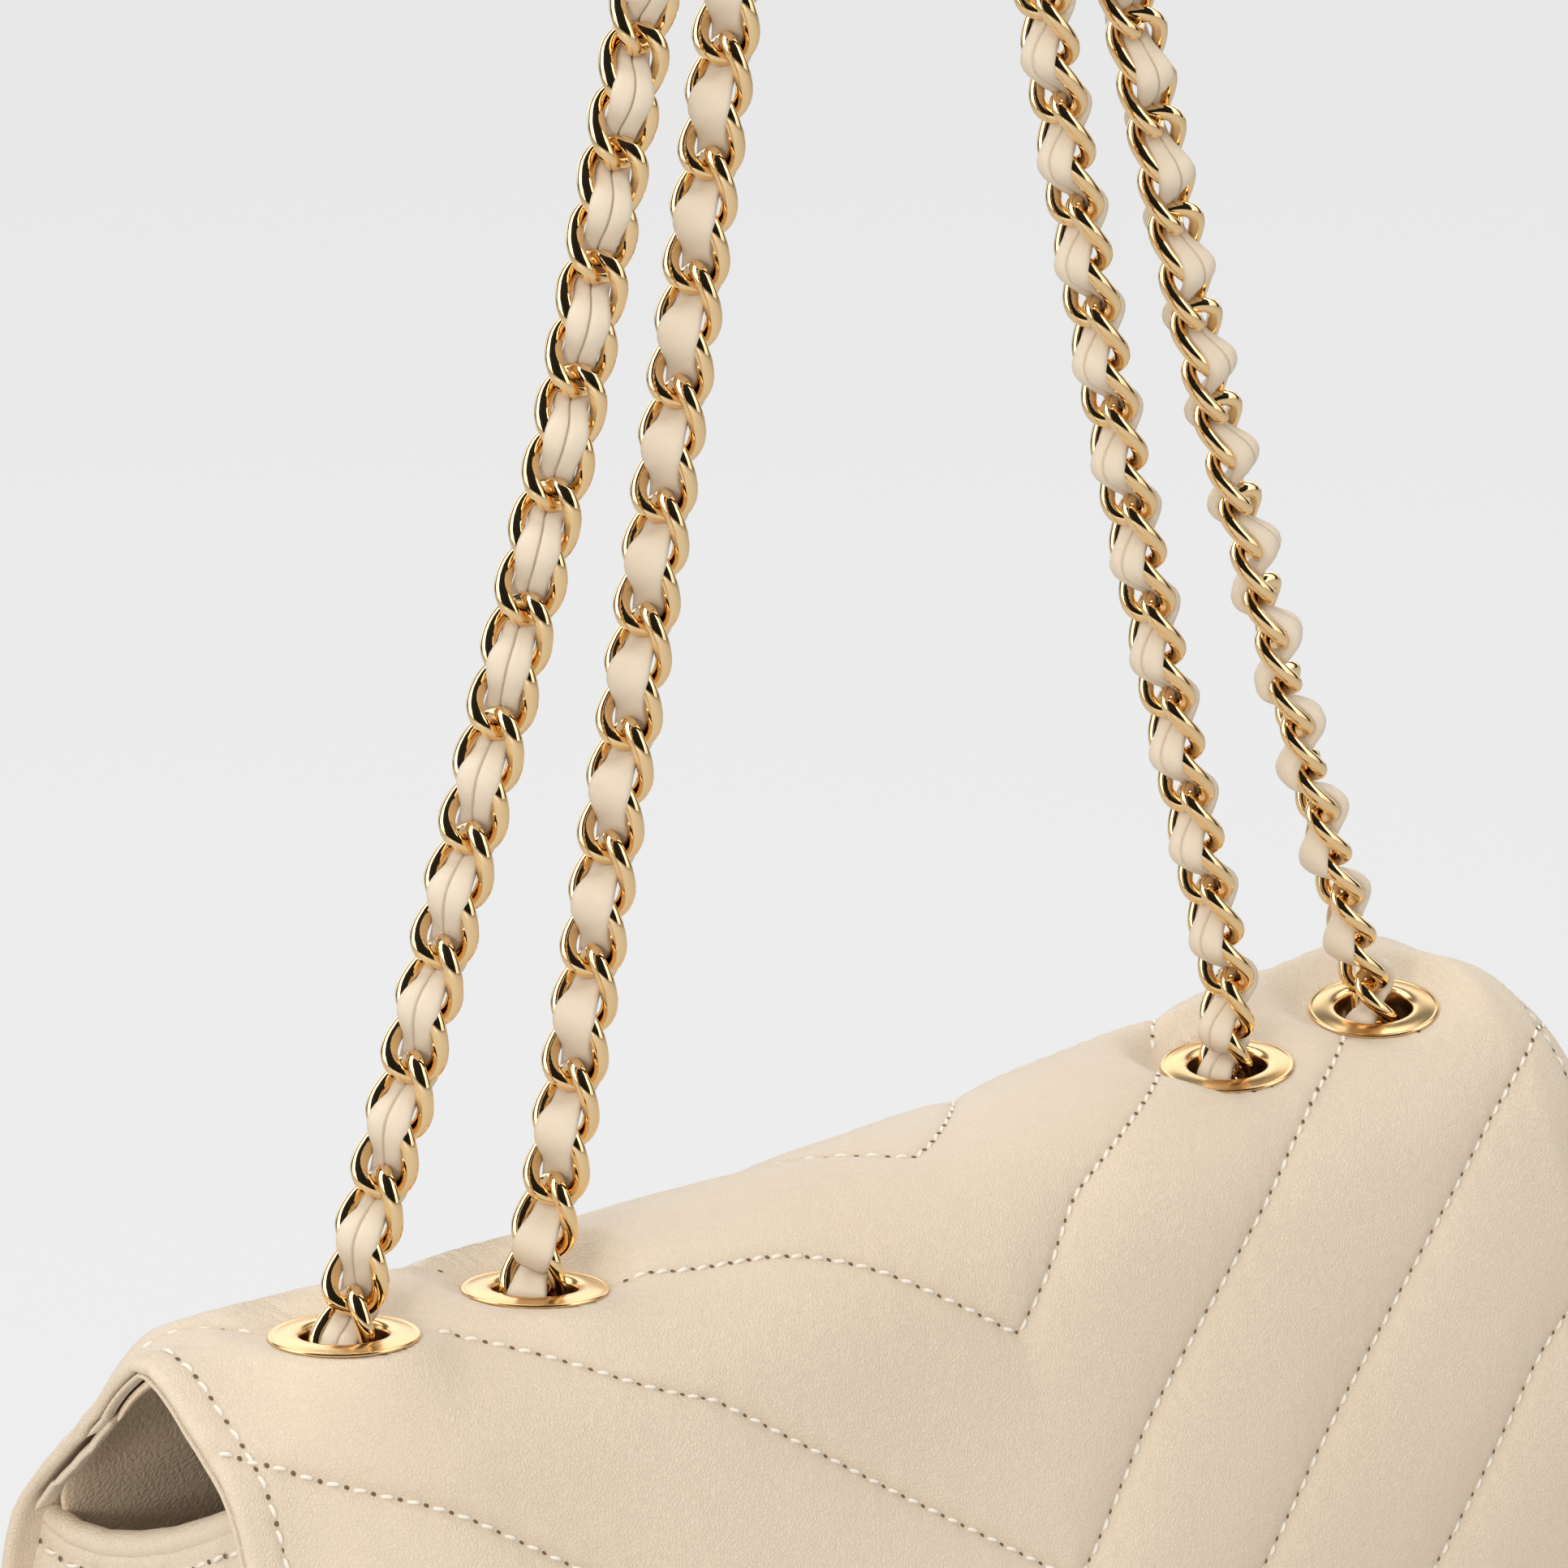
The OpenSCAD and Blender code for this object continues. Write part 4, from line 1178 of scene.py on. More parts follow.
# How far the gusset's leather and its lining lie in from the bag's sides
GUSSET_DEEP = 3.1
GUSSET_LINER_DEEP = 4.4
PROFILES = {(deep, side): side_profiles(deep, side)
            for deep in (GUSSET_DEEP, GUSSET_LINER_DEEP) for side in (-1, 1)}
GUSSET_FOOT_Z = BASE_Z + 2.4
# Measures across and down the gusset, by which its rows and edges are set out
GUSSET_WIDE = 60
GUSSET_TALL = 150
GUSSET_SAG = 5.0
GUSSET_SEAMS = (0.2, 0.47, 0.74)
GUSSET_ROW = 3.6
GUSSET_T = 2.2
GUSSET_RIM_R = 1.9
# Depth and half width of the gusset's upright seams and of the row under its rim
GUSSET_GROOVE = 0.55
GUSSET_GROOVE_W = 1.3
RIM_GROOVE = 0.4
RIM_GROOVE_W = 0.8
GUSSET_SLACK = 0.35


def gusset_point(side, x, t, w, depth):
    """A place on the gusset: t goes from the front to the back, w down from the rim."""
    (front_z, front_y), (back_z, back_y) = PROFILES[depth, side]
    lengths = np.concatenate([[0], np.cumsum(np.linalg.norm(np.diff(GUSSET_RIM, axis=0), axis=1))])
    y0 = np.interp(t * lengths[-1], lengths, GUSSET_RIM[:, 0])
    z0 = np.interp(t * lengths[-1], lengths, GUSSET_RIM[:, 1])
    if side > 0:
        (first_y, first_z), (last_y, last_z) = GUSSET_RIM[0], GUSSET_RIM[-1]
        from_y, to_y = np.interp(first_z, front_z, front_y), np.interp(last_z, back_z, back_y)
        y0 = from_y + (y0 - first_y) / (last_y - first_y) * (to_y - from_y)
    z = z0 + (GUSSET_FOOT_Z - z0) * w
    even = np.interp(z, front_z, front_y) * (1 - t) + np.interp(z, back_z, back_y) * t
    start = np.interp(z0, front_z, front_y) * (1 - t) + np.interp(z0, back_z, back_y) * t
    y = even + (y0 - start) * smooth_step(0.22, 0.0, w)
    belly = np.sin(math.pi * t) ** 0.8
    fade = smooth_step(1.0, 0.82, w) * (0.3 + 0.7 * smooth_step(0.0, 0.3, w))
    inward = GUSSET_SAG * belly * fade
    return np.stack([side * (x - inward), y, z], -1)


def gusset(name, side, x, thick, depth, material, seams=()):
    """A gusset's leather with its upright seams, or the plain lining behind it."""
    t = [0, 0.004, 0.012, 0.025, *np.linspace(0.04, 0.96, 60), 0.975, 0.988, 0.996, 1]
    w = [0, 0.001, 0.003, 0.006, 0.01, *np.linspace(0.016, 0.97, 110), 0.98, 0.99, 0.995, 1]
    tt, ww = np.meshgrid(t, w)
    pull = np.zeros_like(tt)
    for seam in seams:
        pull -= GUSSET_GROOVE * hump(np.abs(tt - seam) * 62, 0, GUSSET_GROOVE_W)
    if seams:
        pull -= RIM_GROOVE * hump(ww * GUSSET_TALL, GUSSET_ROW, RIM_GROOVE_W)
        pull += GUSSET_SLACK * drift_noise(11 + side, tt * GUSSET_WIDE, ww * GUSSET_TALL, 14)
    flat_t, flat_w = tt.ravel(), ww.ravel()
    rim = np.minimum(np.minimum(flat_t, 1 - flat_t) * GUSSET_WIDE,
                     np.minimum(flat_w, 1 - flat_w) * GUSSET_TALL)
    share = rounded(rim, thick / 2)
    offset = pull.ravel() * np.clip(rim / 4, 0, 1)
    top = gusset_point(side, x, flat_t, flat_w, depth)
    bottom = top.copy()
    top[:, 0] += side * (-thick / 2 + thick / 2 * share + offset)
    bottom[:, 0] += side * (-thick / 2 - thick / 2 * share)
    ids = np.arange(tt.size).reshape(tt.shape)
    if side < 0:
        ids = ids[:, ::-1]
    points, faces, _ = shell(top, bottom, grid_faces(ids), share == 0)
    return make(name, points, faces, material)


def gusset_rows(start):
    """Stitch places on a gusset, row by row, and the small step along each row."""
    step, down_step, near = 0.075, 0.026, 0.01
    across = np.arange(0.03 + start * step, 0.98, step)
    rows = [(across, np.full_like(across, GUSSET_ROW / GUSSET_TALL), near, 0.0)]
    for seam in GUSSET_SEAMS:
        down = np.arange(0.05 + start * down_step, 0.96, down_step)
        rows.append((np.full_like(down, seam), down, 0.0, near))
    return rows


def gusset_stitches(side, start):
    """Places, ways along and ways out of the stitches or holes of a gusset."""
    stitches = []
    for t, w, dt, dw in gusset_rows(start):
        behind = gusset_point(side, BODY_HALF, t - dt, w - dw, GUSSET_DEEP)
        ahead = gusset_point(side, BODY_HALF, t + dt, w + dw, GUSSET_DEEP)
        p = gusset_point(side, BODY_HALF, t, w, GUSSET_DEEP)
        p[:, 0] -= side * 0.35
        out = np.zeros_like(p)
        out[:, 0] = side
        along = ahead - behind
        out -= along * ((out * along).sum(1) / (along ** 2).sum(1))[:, None]
        stitches.append((p, along, unit(out)))
    return stitches


for side, word in ((-1, "left"), (1, "right")):
    piece = gusset(word + "_gusset_leather", side, BODY_HALF, GUSSET_T, GUSSET_DEEP, CREAM, GUSSET_SEAMS)
    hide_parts(word + "_gusset")
    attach(piece, "bag")
    piece = gusset(word + "_gusset_lining_leather", side, BODY_HALF - 2.3, LINING_T, GUSSET_LINER_DEEP,
                   LINING)
    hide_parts(word + "_gusset_lining")
    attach(piece, "bag")

    t = np.linspace(0.0, 1.0, 60)
    line = gusset_point(side, BODY_HALF - 1.5, t, np.zeros_like(t), GUSSET_DEEP)
    line[:, 2] += 0.9
    radius = GUSSET_RIM_R * (0.75 + 0.25 * np.sin(math.pi * t) ** 0.4)
    roll = make(word + "_gusset_rim", *tube(line, radius, 18, up=(1, 0, 0)), CREAM_PLAIN)
    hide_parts(word + "_rim_roll")
    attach(roll, "bag")

    threads = join([dashes(*row) for row in gusset_stitches(side, 0.5)])
    piece = make(word + "_gusset_thread", *threads, THREAD)
    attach(piece, "bag")
    holes = join([pricks(*row) for row in gusset_stitches(side, 0.0)])
    piece = make(word + "_gusset_needle_holes", *holes, HOLE, smooth=False)
    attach(piece, "bag")

RIM_HALF = 128.0
RIM_R = 1.6
x = np.linspace(-RIM_HALF, RIM_HALF, 120)
line = settle(np.stack([x, np.full_like(x, -19.0), np.full_like(x, -301.9)], 1), 0.0)
line[:, 2] += 3.2 * (np.abs(x) / RIM_HALF) ** 6
front_rim = make("front_rim", *tube(line, RIM_R, 16), CREAM_PLAIN)
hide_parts("front_rim_roll")
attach(front_rim, "bag")


def edged_steps(low, high, round_by):
    """Places from one edge to the other, close together at both."""
    steps = EDGE_STEPS[:5] * round_by
    return np.concatenate([low + steps, np.arange(low + 3, high - 2.9, 3.0), high - steps[::-1]])


def plate(name, x, y0, y1, z0, z1, material, round_by=1.0, dimple=0.0):
    """A flat sheet with rounded edges, in the base."""
    xx, yy = np.meshgrid(edged_steps(-x, x, round_by), edged_steps(y0, y1, round_by))
    edge = np.minimum(np.minimum(xx + x, x - xx), np.minimum(yy - y0, y1 - yy)).ravel()
    half = (z1 - z0) / 2
    share = rounded(edge, min(half, 1.3 * round_by))
    soft = dimple * drift_noise(19, xx, yy, 23).ravel() * np.clip(edge / 6, 0, 1)
    middle = (z0 + z1) / 2
    top = np.stack([xx.ravel(), yy.ravel(), middle + half * share + soft], 1)
    bottom = np.stack([xx.ravel(), yy.ravel(), middle - half * share], 1)
    ids = np.arange(xx.size).reshape(xx.shape).T
    points, faces, _ = shell(top, bottom, grid_faces(ids), share == 0)
    return make(name, points, faces, material)


BASE_Y = (-24.7, 29.4)
base = plate("base_leather", BODY_HALF, *BASE_Y, BASE_Z, BASE_Z + 2.2, CREAM_PLAIN)
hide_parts("base_panel")
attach(base, "bag")
base_liner = plate("base_lining_leather", 127.4, *BASE_Y, BASE_Z + 4.25, BASE_Z + 5.2, LINING, 0.4, 0.12)
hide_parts("base_lining")
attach(base_liner, "bag")


# Eyelets

# Turned outlines as radius and height over the crown's centre
FLANGE = [(5.75, 18.44), (6.5, 18.44), (6.5, 24.95), (9.75, 25.0), (9.95, 25.1), (10.0, 25.26), (9.97, 25.42),
          (9.86, 25.54), (9.68, 25.58), (9.5, 25.54), (9.36, 25.47), (9.2, 25.5), (8.6, 25.66), (7.8, 25.8),
          (7.0, 25.86), (6.5, 25.82), (6.14, 25.64), (5.9, 25.34), (5.78, 24.9), (5.75, 24.3)]
WASHER = [(6.8, 18.6), (9.2, 18.6), (9.2, 19.1), (6.8, 19.1)]


def stand(points, k):
    """From upright to an eyelet's place."""
    middle, axis = seat_of(k)
    across = unit(np.cross(np.array([0.0, 1.0, 0.0]), axis))
    deep = np.cross(axis, across)
    return middle + points[:, :1] * across + points[:, 1:2] * deep + (points[:, 2:3] - SEAT_R) * axis


washers = []
for k, word in enumerate(("outer_left", "inner_left", "inner_right", "outer_right")):
    piece = make("eyelet_ring_" + word, *lathe(FLANGE, 96, lambda p: stand(p, k)), EYELET_GOLD)
    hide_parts("eyelet_" + word)
    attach(piece, "bag")
    washers.append(lathe(WASHER, 64, lambda p: stand(p, k)))
piece = make("eyelet_backing_rings", *join(washers), EYELET_GOLD)
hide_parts("eyelet_washers")
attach(piece, "bag")


# Chain and ribbon

# A link: its wire, and half the width and length of the wire's middle line
WIRE_R = 1.15
LINK_HALF_W = 3.6
LINK_HALF_L = 5.02
LINK_TWIST = math.radians(47)
LINK_STEP = 7.6
# The taut strap: the bow at its top, and how far its legs sag from straight
BOW_Z = -10.9
BOW_R = 16.0
LEG_SAG = 2.0
# The chain inside, between an outer and an inner eyelet
INSIDE_DROP = 22.5
INSIDE_R = 17.2
INSIDE_X = 88.6

# How the taut chain leans in from its eyelets: at each height, the share of the
# way out from the middle, and how far it stands back
LEAN_Z = (-284.0, -271.7, -225.0, -170.0, -120.0, -85.0, -25.0)
OUTER_LEAN = ((1.0, 0.957, 0.933, 0.905, 0.920, 0.931, 1.0), (0.0, 0.38, 0.94, 1.57, 2.94, 4.16, 0.0))
INNER_LEAN = ((1.0, 0.971, 0.934, 0.876, 0.825, 0.774, 1.0), (0.0, -1.86, -1.99, -2.52, -3.35, -4.20, 0.0))


def leaned(p, lean):
    """A point of the straight strap, moved to where the taut chain hangs."""
    share = np.interp(p[2], LEAN_Z, lean[0])
    return np.array([p[0] * share, p[1] + np.interp(p[2], LEAN_Z, lean[1]), p[2]])


def link_count(length):
    """The odd number of links whose step comes nearest to the chain's own."""
    return 2 * round((length / LINK_STEP - 1) / 2) + 1


class Loop:
    """One loop of the strap, from the eyelet on the left to the one on the right.
    turns are pairs of a share of the way and the angle that the links face there."""

    def __init__(self, x, top_y, taut, turns, ribbon_turns):
        self.x = x
        self.taut = taut
        self.climb = math.hypot(BOW_Z - START_Z, top_y - EYELET_Y)
        self.lean = math.atan(x / self.climb) - math.asin(BOW_R / math.hypot(x, self.climb))
        self.leg = math.sqrt(x * x + self.climb ** 2 - BOW_R ** 2)
        self.bow = BOW_R * (math.pi - 2 * self.lean)
        self.length = 2 * self.leg + self.bow
        self.count = link_count(self.length)
        self.pitch = self.length / self.count
        self.tilt = -math.asin((top_y - EYELET_Y) / self.climb)
        self.turns, self.ribbon_turns = turns, ribbon_turns

    def leg_at(self, s):
        share = s / self.leg
        off = 4 * LEG_SAG * share * (1 - share)
        return (-self.x + s * math.sin(self.lean) + off * math.cos(self.lean),
                s * math.cos(self.lean) - off * math.sin(self.lean))

    def at(self, s):
        """A point of the loop's middle line; it goes straight down past its ends."""
        if s < 0 or s > self.length:
            past = -s if s < 0 else s - self.length
            return leaned(np.array([-self.x if s < 0 else self.x, EYELET_Y, START_Z - past]), self.taut)
        if s < self.leg:
            p = self.leg_at(s)
        elif s < self.leg + self.bow:
            a = self.lean + (s - self.leg) / BOW_R
            p = (-BOW_R * math.cos(a), self.climb + BOW_R * math.sin(a))
        else:
            p = self.leg_at(self.length - s)
            p = (-p[0], p[1])
        p = np.array([p[0], EYELET_Y - p[1] * math.sin(self.tilt), START_Z + p[1] * math.cos(self.tilt)])
        return leaned(p, self.taut)

    def facing(self, s, turns):
        """Which way a link or the ribbon's seam faces, as an angle from the front."""
        return math.radians(np.interp(s / self.length, [at for at, _ in turns], [a for _, a in turns]))

    def frame_at(self, s, turns):
        """A point, the way along, the way that the links face and the way across."""
        step = 0.4
        t = unit(self.at(s + step) - self.at(s - step))
        a = self.facing(s, turns)
        n = np.array([math.sin(a), -math.cos(a), 0.0])
        n = unit(n - t * (n @ t))
        return self.at(s), t, n, np.cross(t, n)


class InsideLoop(Loop):
    """The chain inside the crown, down one eyelet and up the next."""

    def __init__(self, middle, turns, ribbon_turns):
        self.middle = middle
        self.length = 2 * INSIDE_DROP + math.pi * INSIDE_R
        self.count = link_count(self.length)
        self.pitch = self.length / self.count
        self.turns, self.ribbon_turns = turns, ribbon_turns

    def at(self, s):
        a = (s - INSIDE_DROP) / INSIDE_R
        if a < 0:
            p = (-INSIDE_R, -s)
        elif a < math.pi:
            p = (-INSIDE_R * math.cos(a), -INSIDE_DROP - INSIDE_R * math.sin(a))
        else:
            p = (INSIDE_R, s - self.length)
        x = self.middle + p[0]
        lean = OUTER_LEAN if abs(x) > INSIDE_X else INNER_LEAN
        return leaned(np.array([x, EYELET_Y, START_Z + p[1]]), lean)


OUTER = Loop(105.8, -5.8, OUTER_LEAN,
             [(-1, -81), (0.06, -81), (0.10, -70), (0.15, -52), (0.20, -40), (0.254, -26), (0.305, -11),
              (0.5, -12), (0.717, -20), (0.783, -5), (0.85, 15), (0.915, 40), (0.98, 65), (1.0, 70), (2, 70)],
             [(-1, -65), (0.06, -65), (0.10, -59), (0.15, -48), (0.20, -41), (0.254, -33), (0.305, -23),
              (0.5, -24), (0.717, -30), (0.783, -18), (0.85, 10), (0.915, 40), (0.98, 82), (1.0, 85),
              (2, 85)])
INNER = Loop(71.4, 5.8, INNER_LEAN,
             [(-1, 102), (0.40, 102), (0.5, 182), (0.60, 262), (2, 262)],
             [(-1, 115), (0.40, 115), (0.5, 195), (0.60, 273), (2, 273)])
INSIDE_LEFT = InsideLoop(-INSIDE_X, [(-1, -81), (0.15, -81), (0.5, 10), (0.85, 102), (2, 102)],
                         [(-1, -65), (0.15, -65), (0.5, 25), (0.85, 115), (2, 115)])
INSIDE_RIGHT = InsideLoop(INSIDE_X, [(-1, 262), (0.15, 262), (0.5, 346), (0.85, 430), (2, 430)],
                          [(-1, 273), (0.15, 273), (0.5, 359), (0.85, 445), (2, 445)])


LINK_STEPS = 44
LINK_SIDES = 14
LINK_SQUARENESS = 2.5


def link_line():
    """The middle line of a curb link: a rounded oblong with a twist."""
    a = (np.arange(LINK_STEPS) + 0.5) * 2 * math.pi / LINK_STEPS
    power = 2 / LINK_SQUARENESS
    c, s = np.cos(a), np.sin(a)
    x = LINK_HALF_W * np.sign(c) * np.abs(c) ** power
    z = LINK_HALF_L * np.sign(s) * np.abs(s) ** power
    turn = LINK_TWIST * z / LINK_HALF_L
    return np.stack([x * np.cos(turn), z, x * np.sin(turn)], 1)


def link_mesh():
    """A link about its own middle: across, along and out."""
    line = link_line()
    ahead = unit(np.roll(line, -1, 0) - np.roll(line, 1, 0))
    side = unit(line - ahead * (line * ahead).sum(1)[:, None])
    over = np.cross(ahead, side)
    cosine, sine = ring_round(LINK_SIDES)
    points = line[:, None, :] + WIRE_R * (cosine * side[:, None, :] + sine * over[:, None, :])
    return points.reshape(-1, 3), tube_faces(len(line), LINK_SIDES, True)


LINK_POINTS, LINK_FACES = link_mesh()


def chain(name, loop, first, last, body, node):
    """The links of a loop from one number to another."""
    parts = []
    for k in range(first, last):
        p, t, n, u = loop.frame_at((k + 0.5) * loop.pitch, loop.turns)
        points = p + LINK_POINTS[:, :1] * u + LINK_POINTS[:, 1:2] * t + LINK_POINTS[:, 2:3] * n
        parts.append((points, LINK_FACES))
    piece = make(name, *join(parts), GOLD)
    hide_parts(node)
    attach(piece, body)


for word, loop in (("outer", OUTER), ("inner", INNER)):
    middle = (loop.count + 1) // 2
    chain("chain_" + word + "_links_left", loop, 0, middle, "strap", "chain_" + word + "_left")
    chain("chain_" + word + "_links_right", loop, middle, loop.count, "strap", "chain_" + word + "_right")
for word, loop in (("left", INSIDE_LEFT), ("right", INSIDE_RIGHT)):
    chain("inside_links_" + word, loop, 0, loop.count, "bag", "inside_chain_" + word)

# The ribbon's width and thickness, how far it goes in and out between the links, and
# how far it turns as it passes from one side to the other
RIBBON_W = 5.7
RIBBON_T = 2.3
RIBBON_WAVE = 3.1
RIBBON_TURN = math.radians(26)
RIBBON_STEPS = 14
# How much the wave flattens at its crests
WAVE_FLAT = 0.06
# Its shares of width and thickness between the links, and how much it gains outside
RIBBON_NARROW = 0.82
RIBBON_WIDENS = 0.19
RIBBON_THIN = 0.85
RIBBON_FILLS = 0.3


def ribbon_section():
    """Rounded section across the ribbon; the seam is a slit in its outer face."""
    half_w, half_t = RIBBON_W / 2, RIBBON_T / 2
    upper = [(0.10, half_t - 0.55), (0.14, half_t - 0.1), (0.34, half_t + 0.04), (0.9, half_t + 0.04),
             (1.6, half_t - 0.06), (2.2, half_t - 0.26), (2.62, half_t - 0.55), (half_w, half_t - 0.95)]
    lower = [(2.75, -half_t + 0.5), (2.3, -half_t + 0.2), (1.4, -half_t + 0.02), (0.5, -half_t),
             (0.0, -half_t)]
    right = upper + lower
    left = [(-a, b) for a, b in reversed(right[:-1])]
    return np.array(right + left)


def ribbon(name, loop, first, last):
    """The ribbon passes over every second joint of the links on each side."""
    section = ribbon_section()[::-1]
    steps = int(round((last - first) / loop.pitch * RIBBON_STEPS))
    rings = []
    for s in np.linspace(first, last, steps + 1):
        p, t, n, u = loop.frame_at(s, loop.ribbon_turns)
        turn = math.pi * s / loop.pitch
        c = math.cos(turn)
        wave = c * (1 - WAVE_FLAT + WAVE_FLAT * c * c)
        rise = 1 - WAVE_FLAT + 3 * WAVE_FLAT * c * c
        slope = -math.pi / loop.pitch * RIBBON_WAVE * rise * math.sin(turn)
        centre = p + n * RIBBON_WAVE * wave
        ahead = unit(t + n * slope)
        a = RIBBON_TURN * (1 - abs(wave)) ** 1.5
        u = u * math.cos(a) + n * math.sin(a)
        u = unit(u - ahead * (u @ ahead))
        out = np.cross(u, ahead)
        width = RIBBON_NARROW + RIBBON_WIDENS * c * c
        full = RIBBON_THIN + RIBBON_FILLS * c * c
        rings.append(centre + u * (section[:, :1] * width) + out * (section[:, 1:2] * full))
    points = np.concatenate(rings)
    return make(name, points, tube_faces(len(rings), len(section)), RIBBON)


# How far a ribbon runs on past its last link, into the bag
PAST = 10.0
for name, loop, node in (("ribbon_outer_loop", OUTER, "ribbon_outer"),
                         ("ribbon_inner_loop", INNER, "ribbon_inner")):
    piece = ribbon(name, loop, -PAST, loop.length + PAST)
    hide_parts(node)
    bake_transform(piece)
for name, loop, node in (("inside_ribbon_left_end", INSIDE_LEFT, "inside_ribbon_left"),
                         ("inside_ribbon_right_end", INSIDE_RIGHT, "inside_ribbon_right")):
    piece = ribbon(name, loop, PAST - 0.4, loop.length - PAST + 0.4)
    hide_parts(node)
    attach(piece, "bag")


# Pocket and small parts

CLOTH_STEP = 2.5


def even_steps(low, high, least):
    """Even places from one edge to the other, about a step of the cloth apart."""
    count = max(least, round((high - low) / CLOTH_STEP))
    return np.arange(low, high + CLOTH_STEP * 0.5, (high - low) / count)


def upright_sheet(name, node, material, ripple=0.0):
    """A flat cloth part of the pocket in the place of its CAD node."""
    low, high = (np.array(corner) * 1000 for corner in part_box(node))
    half = (high[1] - low[1]) / 2
    xs, zs = even_steps(low[0], high[0], 1), even_steps(low[2], high[2], 4)
    xx, zz = np.meshgrid(xs, zs)
    edge = np.minimum(np.minimum(xx - xs[0], xs[-1] - xx), np.minimum(zz - zs[0], zs[-1] - zz)).ravel()
    share = np.where(edge < 1e-6, 0.0, 1.0)
    soft = ripple * drift_noise(23, xx, zz, 19).ravel() * np.clip(edge / 8, 0, 1)
    y = (low[1] + high[1]) / 2
    front_side = np.stack([xx.ravel(), y - half * share + soft, zz.ravel()], 1)
    back_side = np.stack([xx.ravel(), y + half * share, zz.ravel()], 1)
    ids = np.arange(xx.size).reshape(xx.shape).T[::-1]
    points, faces, _ = shell(front_side, back_side, grid_faces(ids), share == 0)
    piece = make(name, points, faces, material)
    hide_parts(node)
    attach(piece, "bag")
    return piece


pouch = upright_sheet("pocket_pouch_cloth", "pocket_pouch", POCKET, 0.25)
tape = upright_sheet("zip_tape_cloth", "zip_tape", TAPE)

GOLD_NODES = ("snap_stud", "snap_stud_washer", "snap_socket", "snap_socket_washer",
              "zip_teeth", "zip_stops", "zip_slider", "zip_puller")
for node in ("base_board",) + GOLD_NODES:
    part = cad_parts[node]
    part.data.materials.clear()
    part.data.materials.append(SATIN_GOLD if node in GOLD_NODES else BOARD)


# Floor, light and camera

# Greys of the room, and of the floor and the far wall as the camera sees them
ROOM_GREY = 0.62
WALL_SHOWN = 0.806
FLOOR_SHOWN = 0.90
FLOOR_GLOW = 0.8
FLOOR_HALF = 8000.0


def grey(level):
    return (level, level, level, 1.0)


def backdrop():
    """A floor that shows as plain pale grey and keeps the bag's shadow."""
    finish = Finish("pale_floor", (ROOM_GREY, ROOM_GREY, ROOM_GREY), 0.9, Specular_IOR_Level=0.0)
    glow = finish.node("ShaderNodeEmission", Color=grey(FLOOR_SHOWN))
    share = finish.node("ShaderNodeLightPath", output="Is Camera Ray") * FLOOR_GLOW
    plain = Value(finish.tree, finish.skin.outputs[0])
    mix = finish.node("ShaderNodeMixShader", terms=(share, plain, glow))
    feed(finish.tree, finish.tree.nodes["Material Output"].inputs["Surface"], mix)
    z = BASE_Z - 0.05
    corners = [(-1, -1), (1, -1), (1, 1), (-1, 1)]
    points = [(x * FLOOR_HALF, y * FLOOR_HALF, z) for x, y in corners]
    make("floor", points, [(0, 1, 2, 3)], finish.material, smooth=False)


backdrop()


# Bands of light and dark in the room, from away from the camera to beside it
ROOM_BANDS = ((0.0, 1.1), (0.12, 1.2), (0.185, 1.15), (0.215, 0.05), (0.375, 0.05), (0.43, 1.25), (0.68, 1.6),
              (0.735, 2.8), (0.77, 0.9), (0.79, 0.02), (1.0, 0.01))


def studio():
    """Pale grey to the camera; to the plating a bright room with dark gaps."""
    world = bpy.data.worlds.new("studio")
    bpy.context.scene.world = world
    world.use_nodes = True
    world.node_tree.nodes.clear()
    room = Nodes(world.node_tree)
    way = room.node("ShaderNodeTexCoord", output="Generated")
    across, deep, up = (room.node("ShaderNodeSeparateXYZ", output=axis, terms=(way,)) for axis in "XYZ")
    # How far a direction points to the camera; bands across it are bent to the sides
    toward = across * -0.70 + deep * -0.65 + up * 0.29
    sideways = across * 0.694 + deep * -0.720
    rest = toward * toward * -1.0 - sideways * sideways + 1.0
    toward = toward + rest * ((toward + 0.4) * 2.0).clamped() * 0.55
    swirl = across * 7.0 + deep * 3.0 + up * 9.0
    ripple = swirl.maths("SINE", swirl)
    place = toward * 0.5 + ripple * 0.012 + 0.5
    bands = room.node("ShaderNodeValToRGB", {"stops": ROOM_BANDS}, terms=(place,))
    level = bands * (up.clamped() * 0.8 + across * -0.22 + deep * 0.22 + 0.98)
    shown = room.node("ShaderNodeBackground", Color=grey(WALL_SHOWN))
    soft = room.node("ShaderNodeBackground", Color=grey(ROOM_GREY))
    bright = room.node("ShaderNodeBackground", Color=level)
    glossy = room.node("ShaderNodeLightPath", output="Is Glossy Ray")
    seen = room.node("ShaderNodeLightPath", output="Is Camera Ray")
    lit = room.node("ShaderNodeMixShader", terms=(glossy, soft, bright))
    whole = room.node("ShaderNodeMixShader", terms=(seen, lit, shown))
    output = world.node_tree.nodes.new("ShaderNodeOutputWorld")
    feed(world.node_tree, output.inputs["Surface"], whole)


studio()


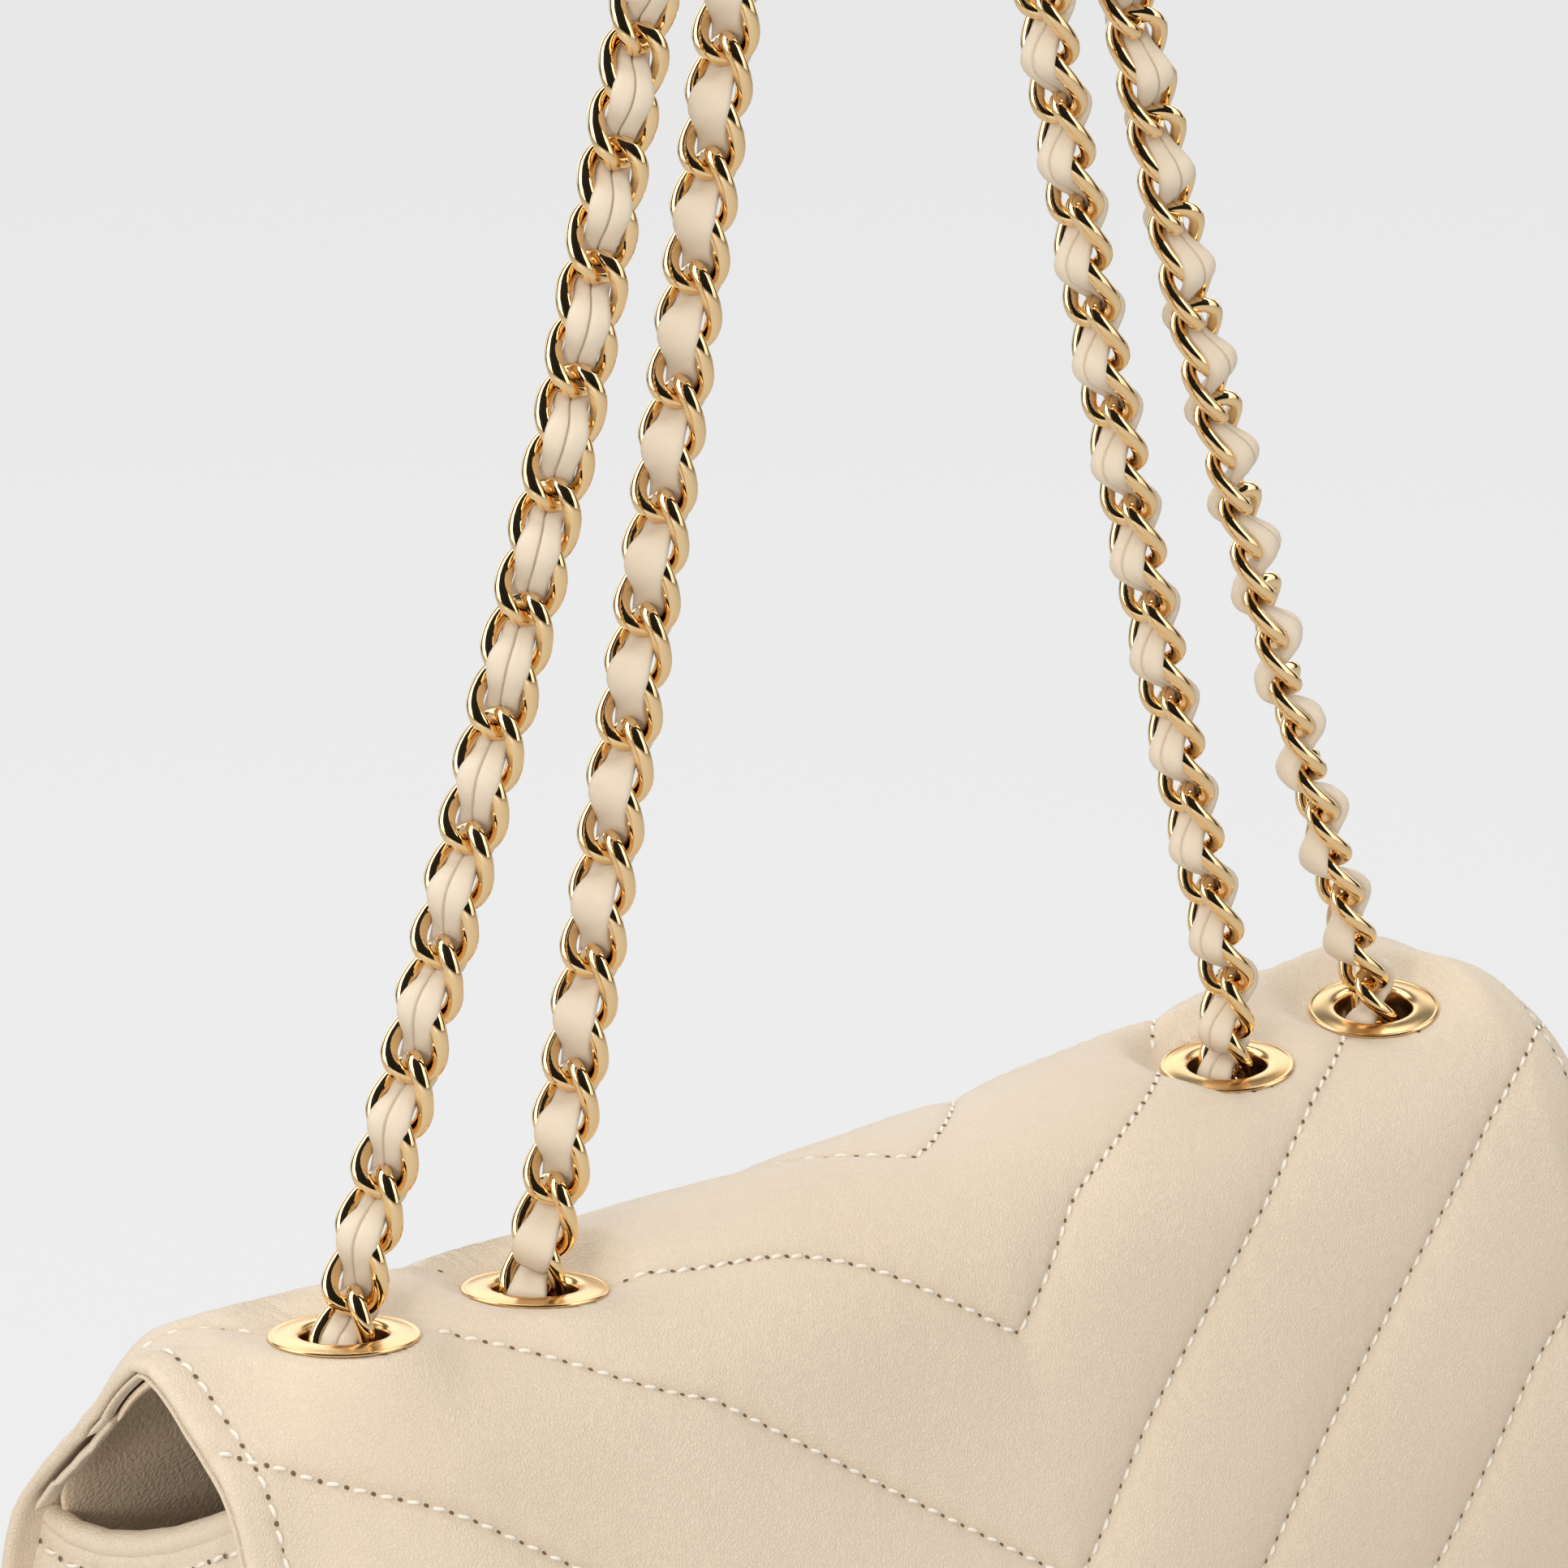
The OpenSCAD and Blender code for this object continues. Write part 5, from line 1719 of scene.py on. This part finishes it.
def lamp(name, place, aim, size, power):
    """A square lamp, which the plating doesn't mirror."""
    data = bpy.data.lights.new(name, "AREA")
    data.shape = "RECTANGLE"
    data.size, data.size_y = size, size
    data.energy = power
    piece = bpy.data.objects.new(name, data)
    piece.location = place
    piece.rotation_euler = (Vector(aim) - Vector(place)).to_track_quat("-Z", "Y").to_euler()
    piece.visible_glossy = False
    bpy.context.scene.collection.objects.link(piece)


LAMP_AIM = (0, 0, -0.32)
lamp("key_lamp", (-1.25, -0.5, 0.8), LAMP_AIM, 1.3, 10.7)
lamp("fill_lamp", (0.7, -1.6, 0.5), LAMP_AIM, 1.6, 5.3)
lamp("top_lamp", (0.1, 0.5, 1.2), LAMP_AIM, 1.2, 8.3)
lamp("side_lamp", (-1.6, -0.7, 0.02), (-0.1, 0.0, -0.31), 0.35, 7.0)

# The camera's place in metres, its turn, dip and roll, and its lens
CAMERA_AT = Vector((-0.6510, -0.6094, -0.0064))
CAMERA_AZ, CAMERA_EL, CAMERA_ROLL = (math.radians(a) for a in (46.03, 14.07, -0.26))
CAMERA_LENS = 151.5
CAMERA_SENSOR = 36.0


def camera():
    """The photograph's camera, solved from the eyelets and the chain."""
    look = Vector((math.sin(CAMERA_AZ) * math.cos(CAMERA_EL), math.cos(CAMERA_AZ) * math.cos(CAMERA_EL),
                   -math.sin(CAMERA_EL)))
    right = Vector((math.cos(CAMERA_AZ), -math.sin(CAMERA_AZ), 0))
    up = right.cross(look)
    c, s = math.cos(CAMERA_ROLL), math.sin(CAMERA_ROLL)
    right, up = right * c + up * s, up * c - right * s
    data = bpy.data.cameras.new("camera")
    data.lens = CAMERA_LENS
    data.sensor_width = CAMERA_SENSOR
    data.clip_start, data.clip_end = 0.01, 50.0
    piece = bpy.data.objects.new("camera", data)
    piece.matrix_world = Matrix((
        (right.x, up.x, -look.x, CAMERA_AT.x), (right.y, up.y, -look.y, CAMERA_AT.y),
        (right.z, up.z, -look.z, CAMERA_AT.z), (0, 0, 0, 1)))
    bpy.context.scene.collection.objects.link(piece)
    bpy.context.scene.camera = piece


camera()

bpy.context.view_layer.update()
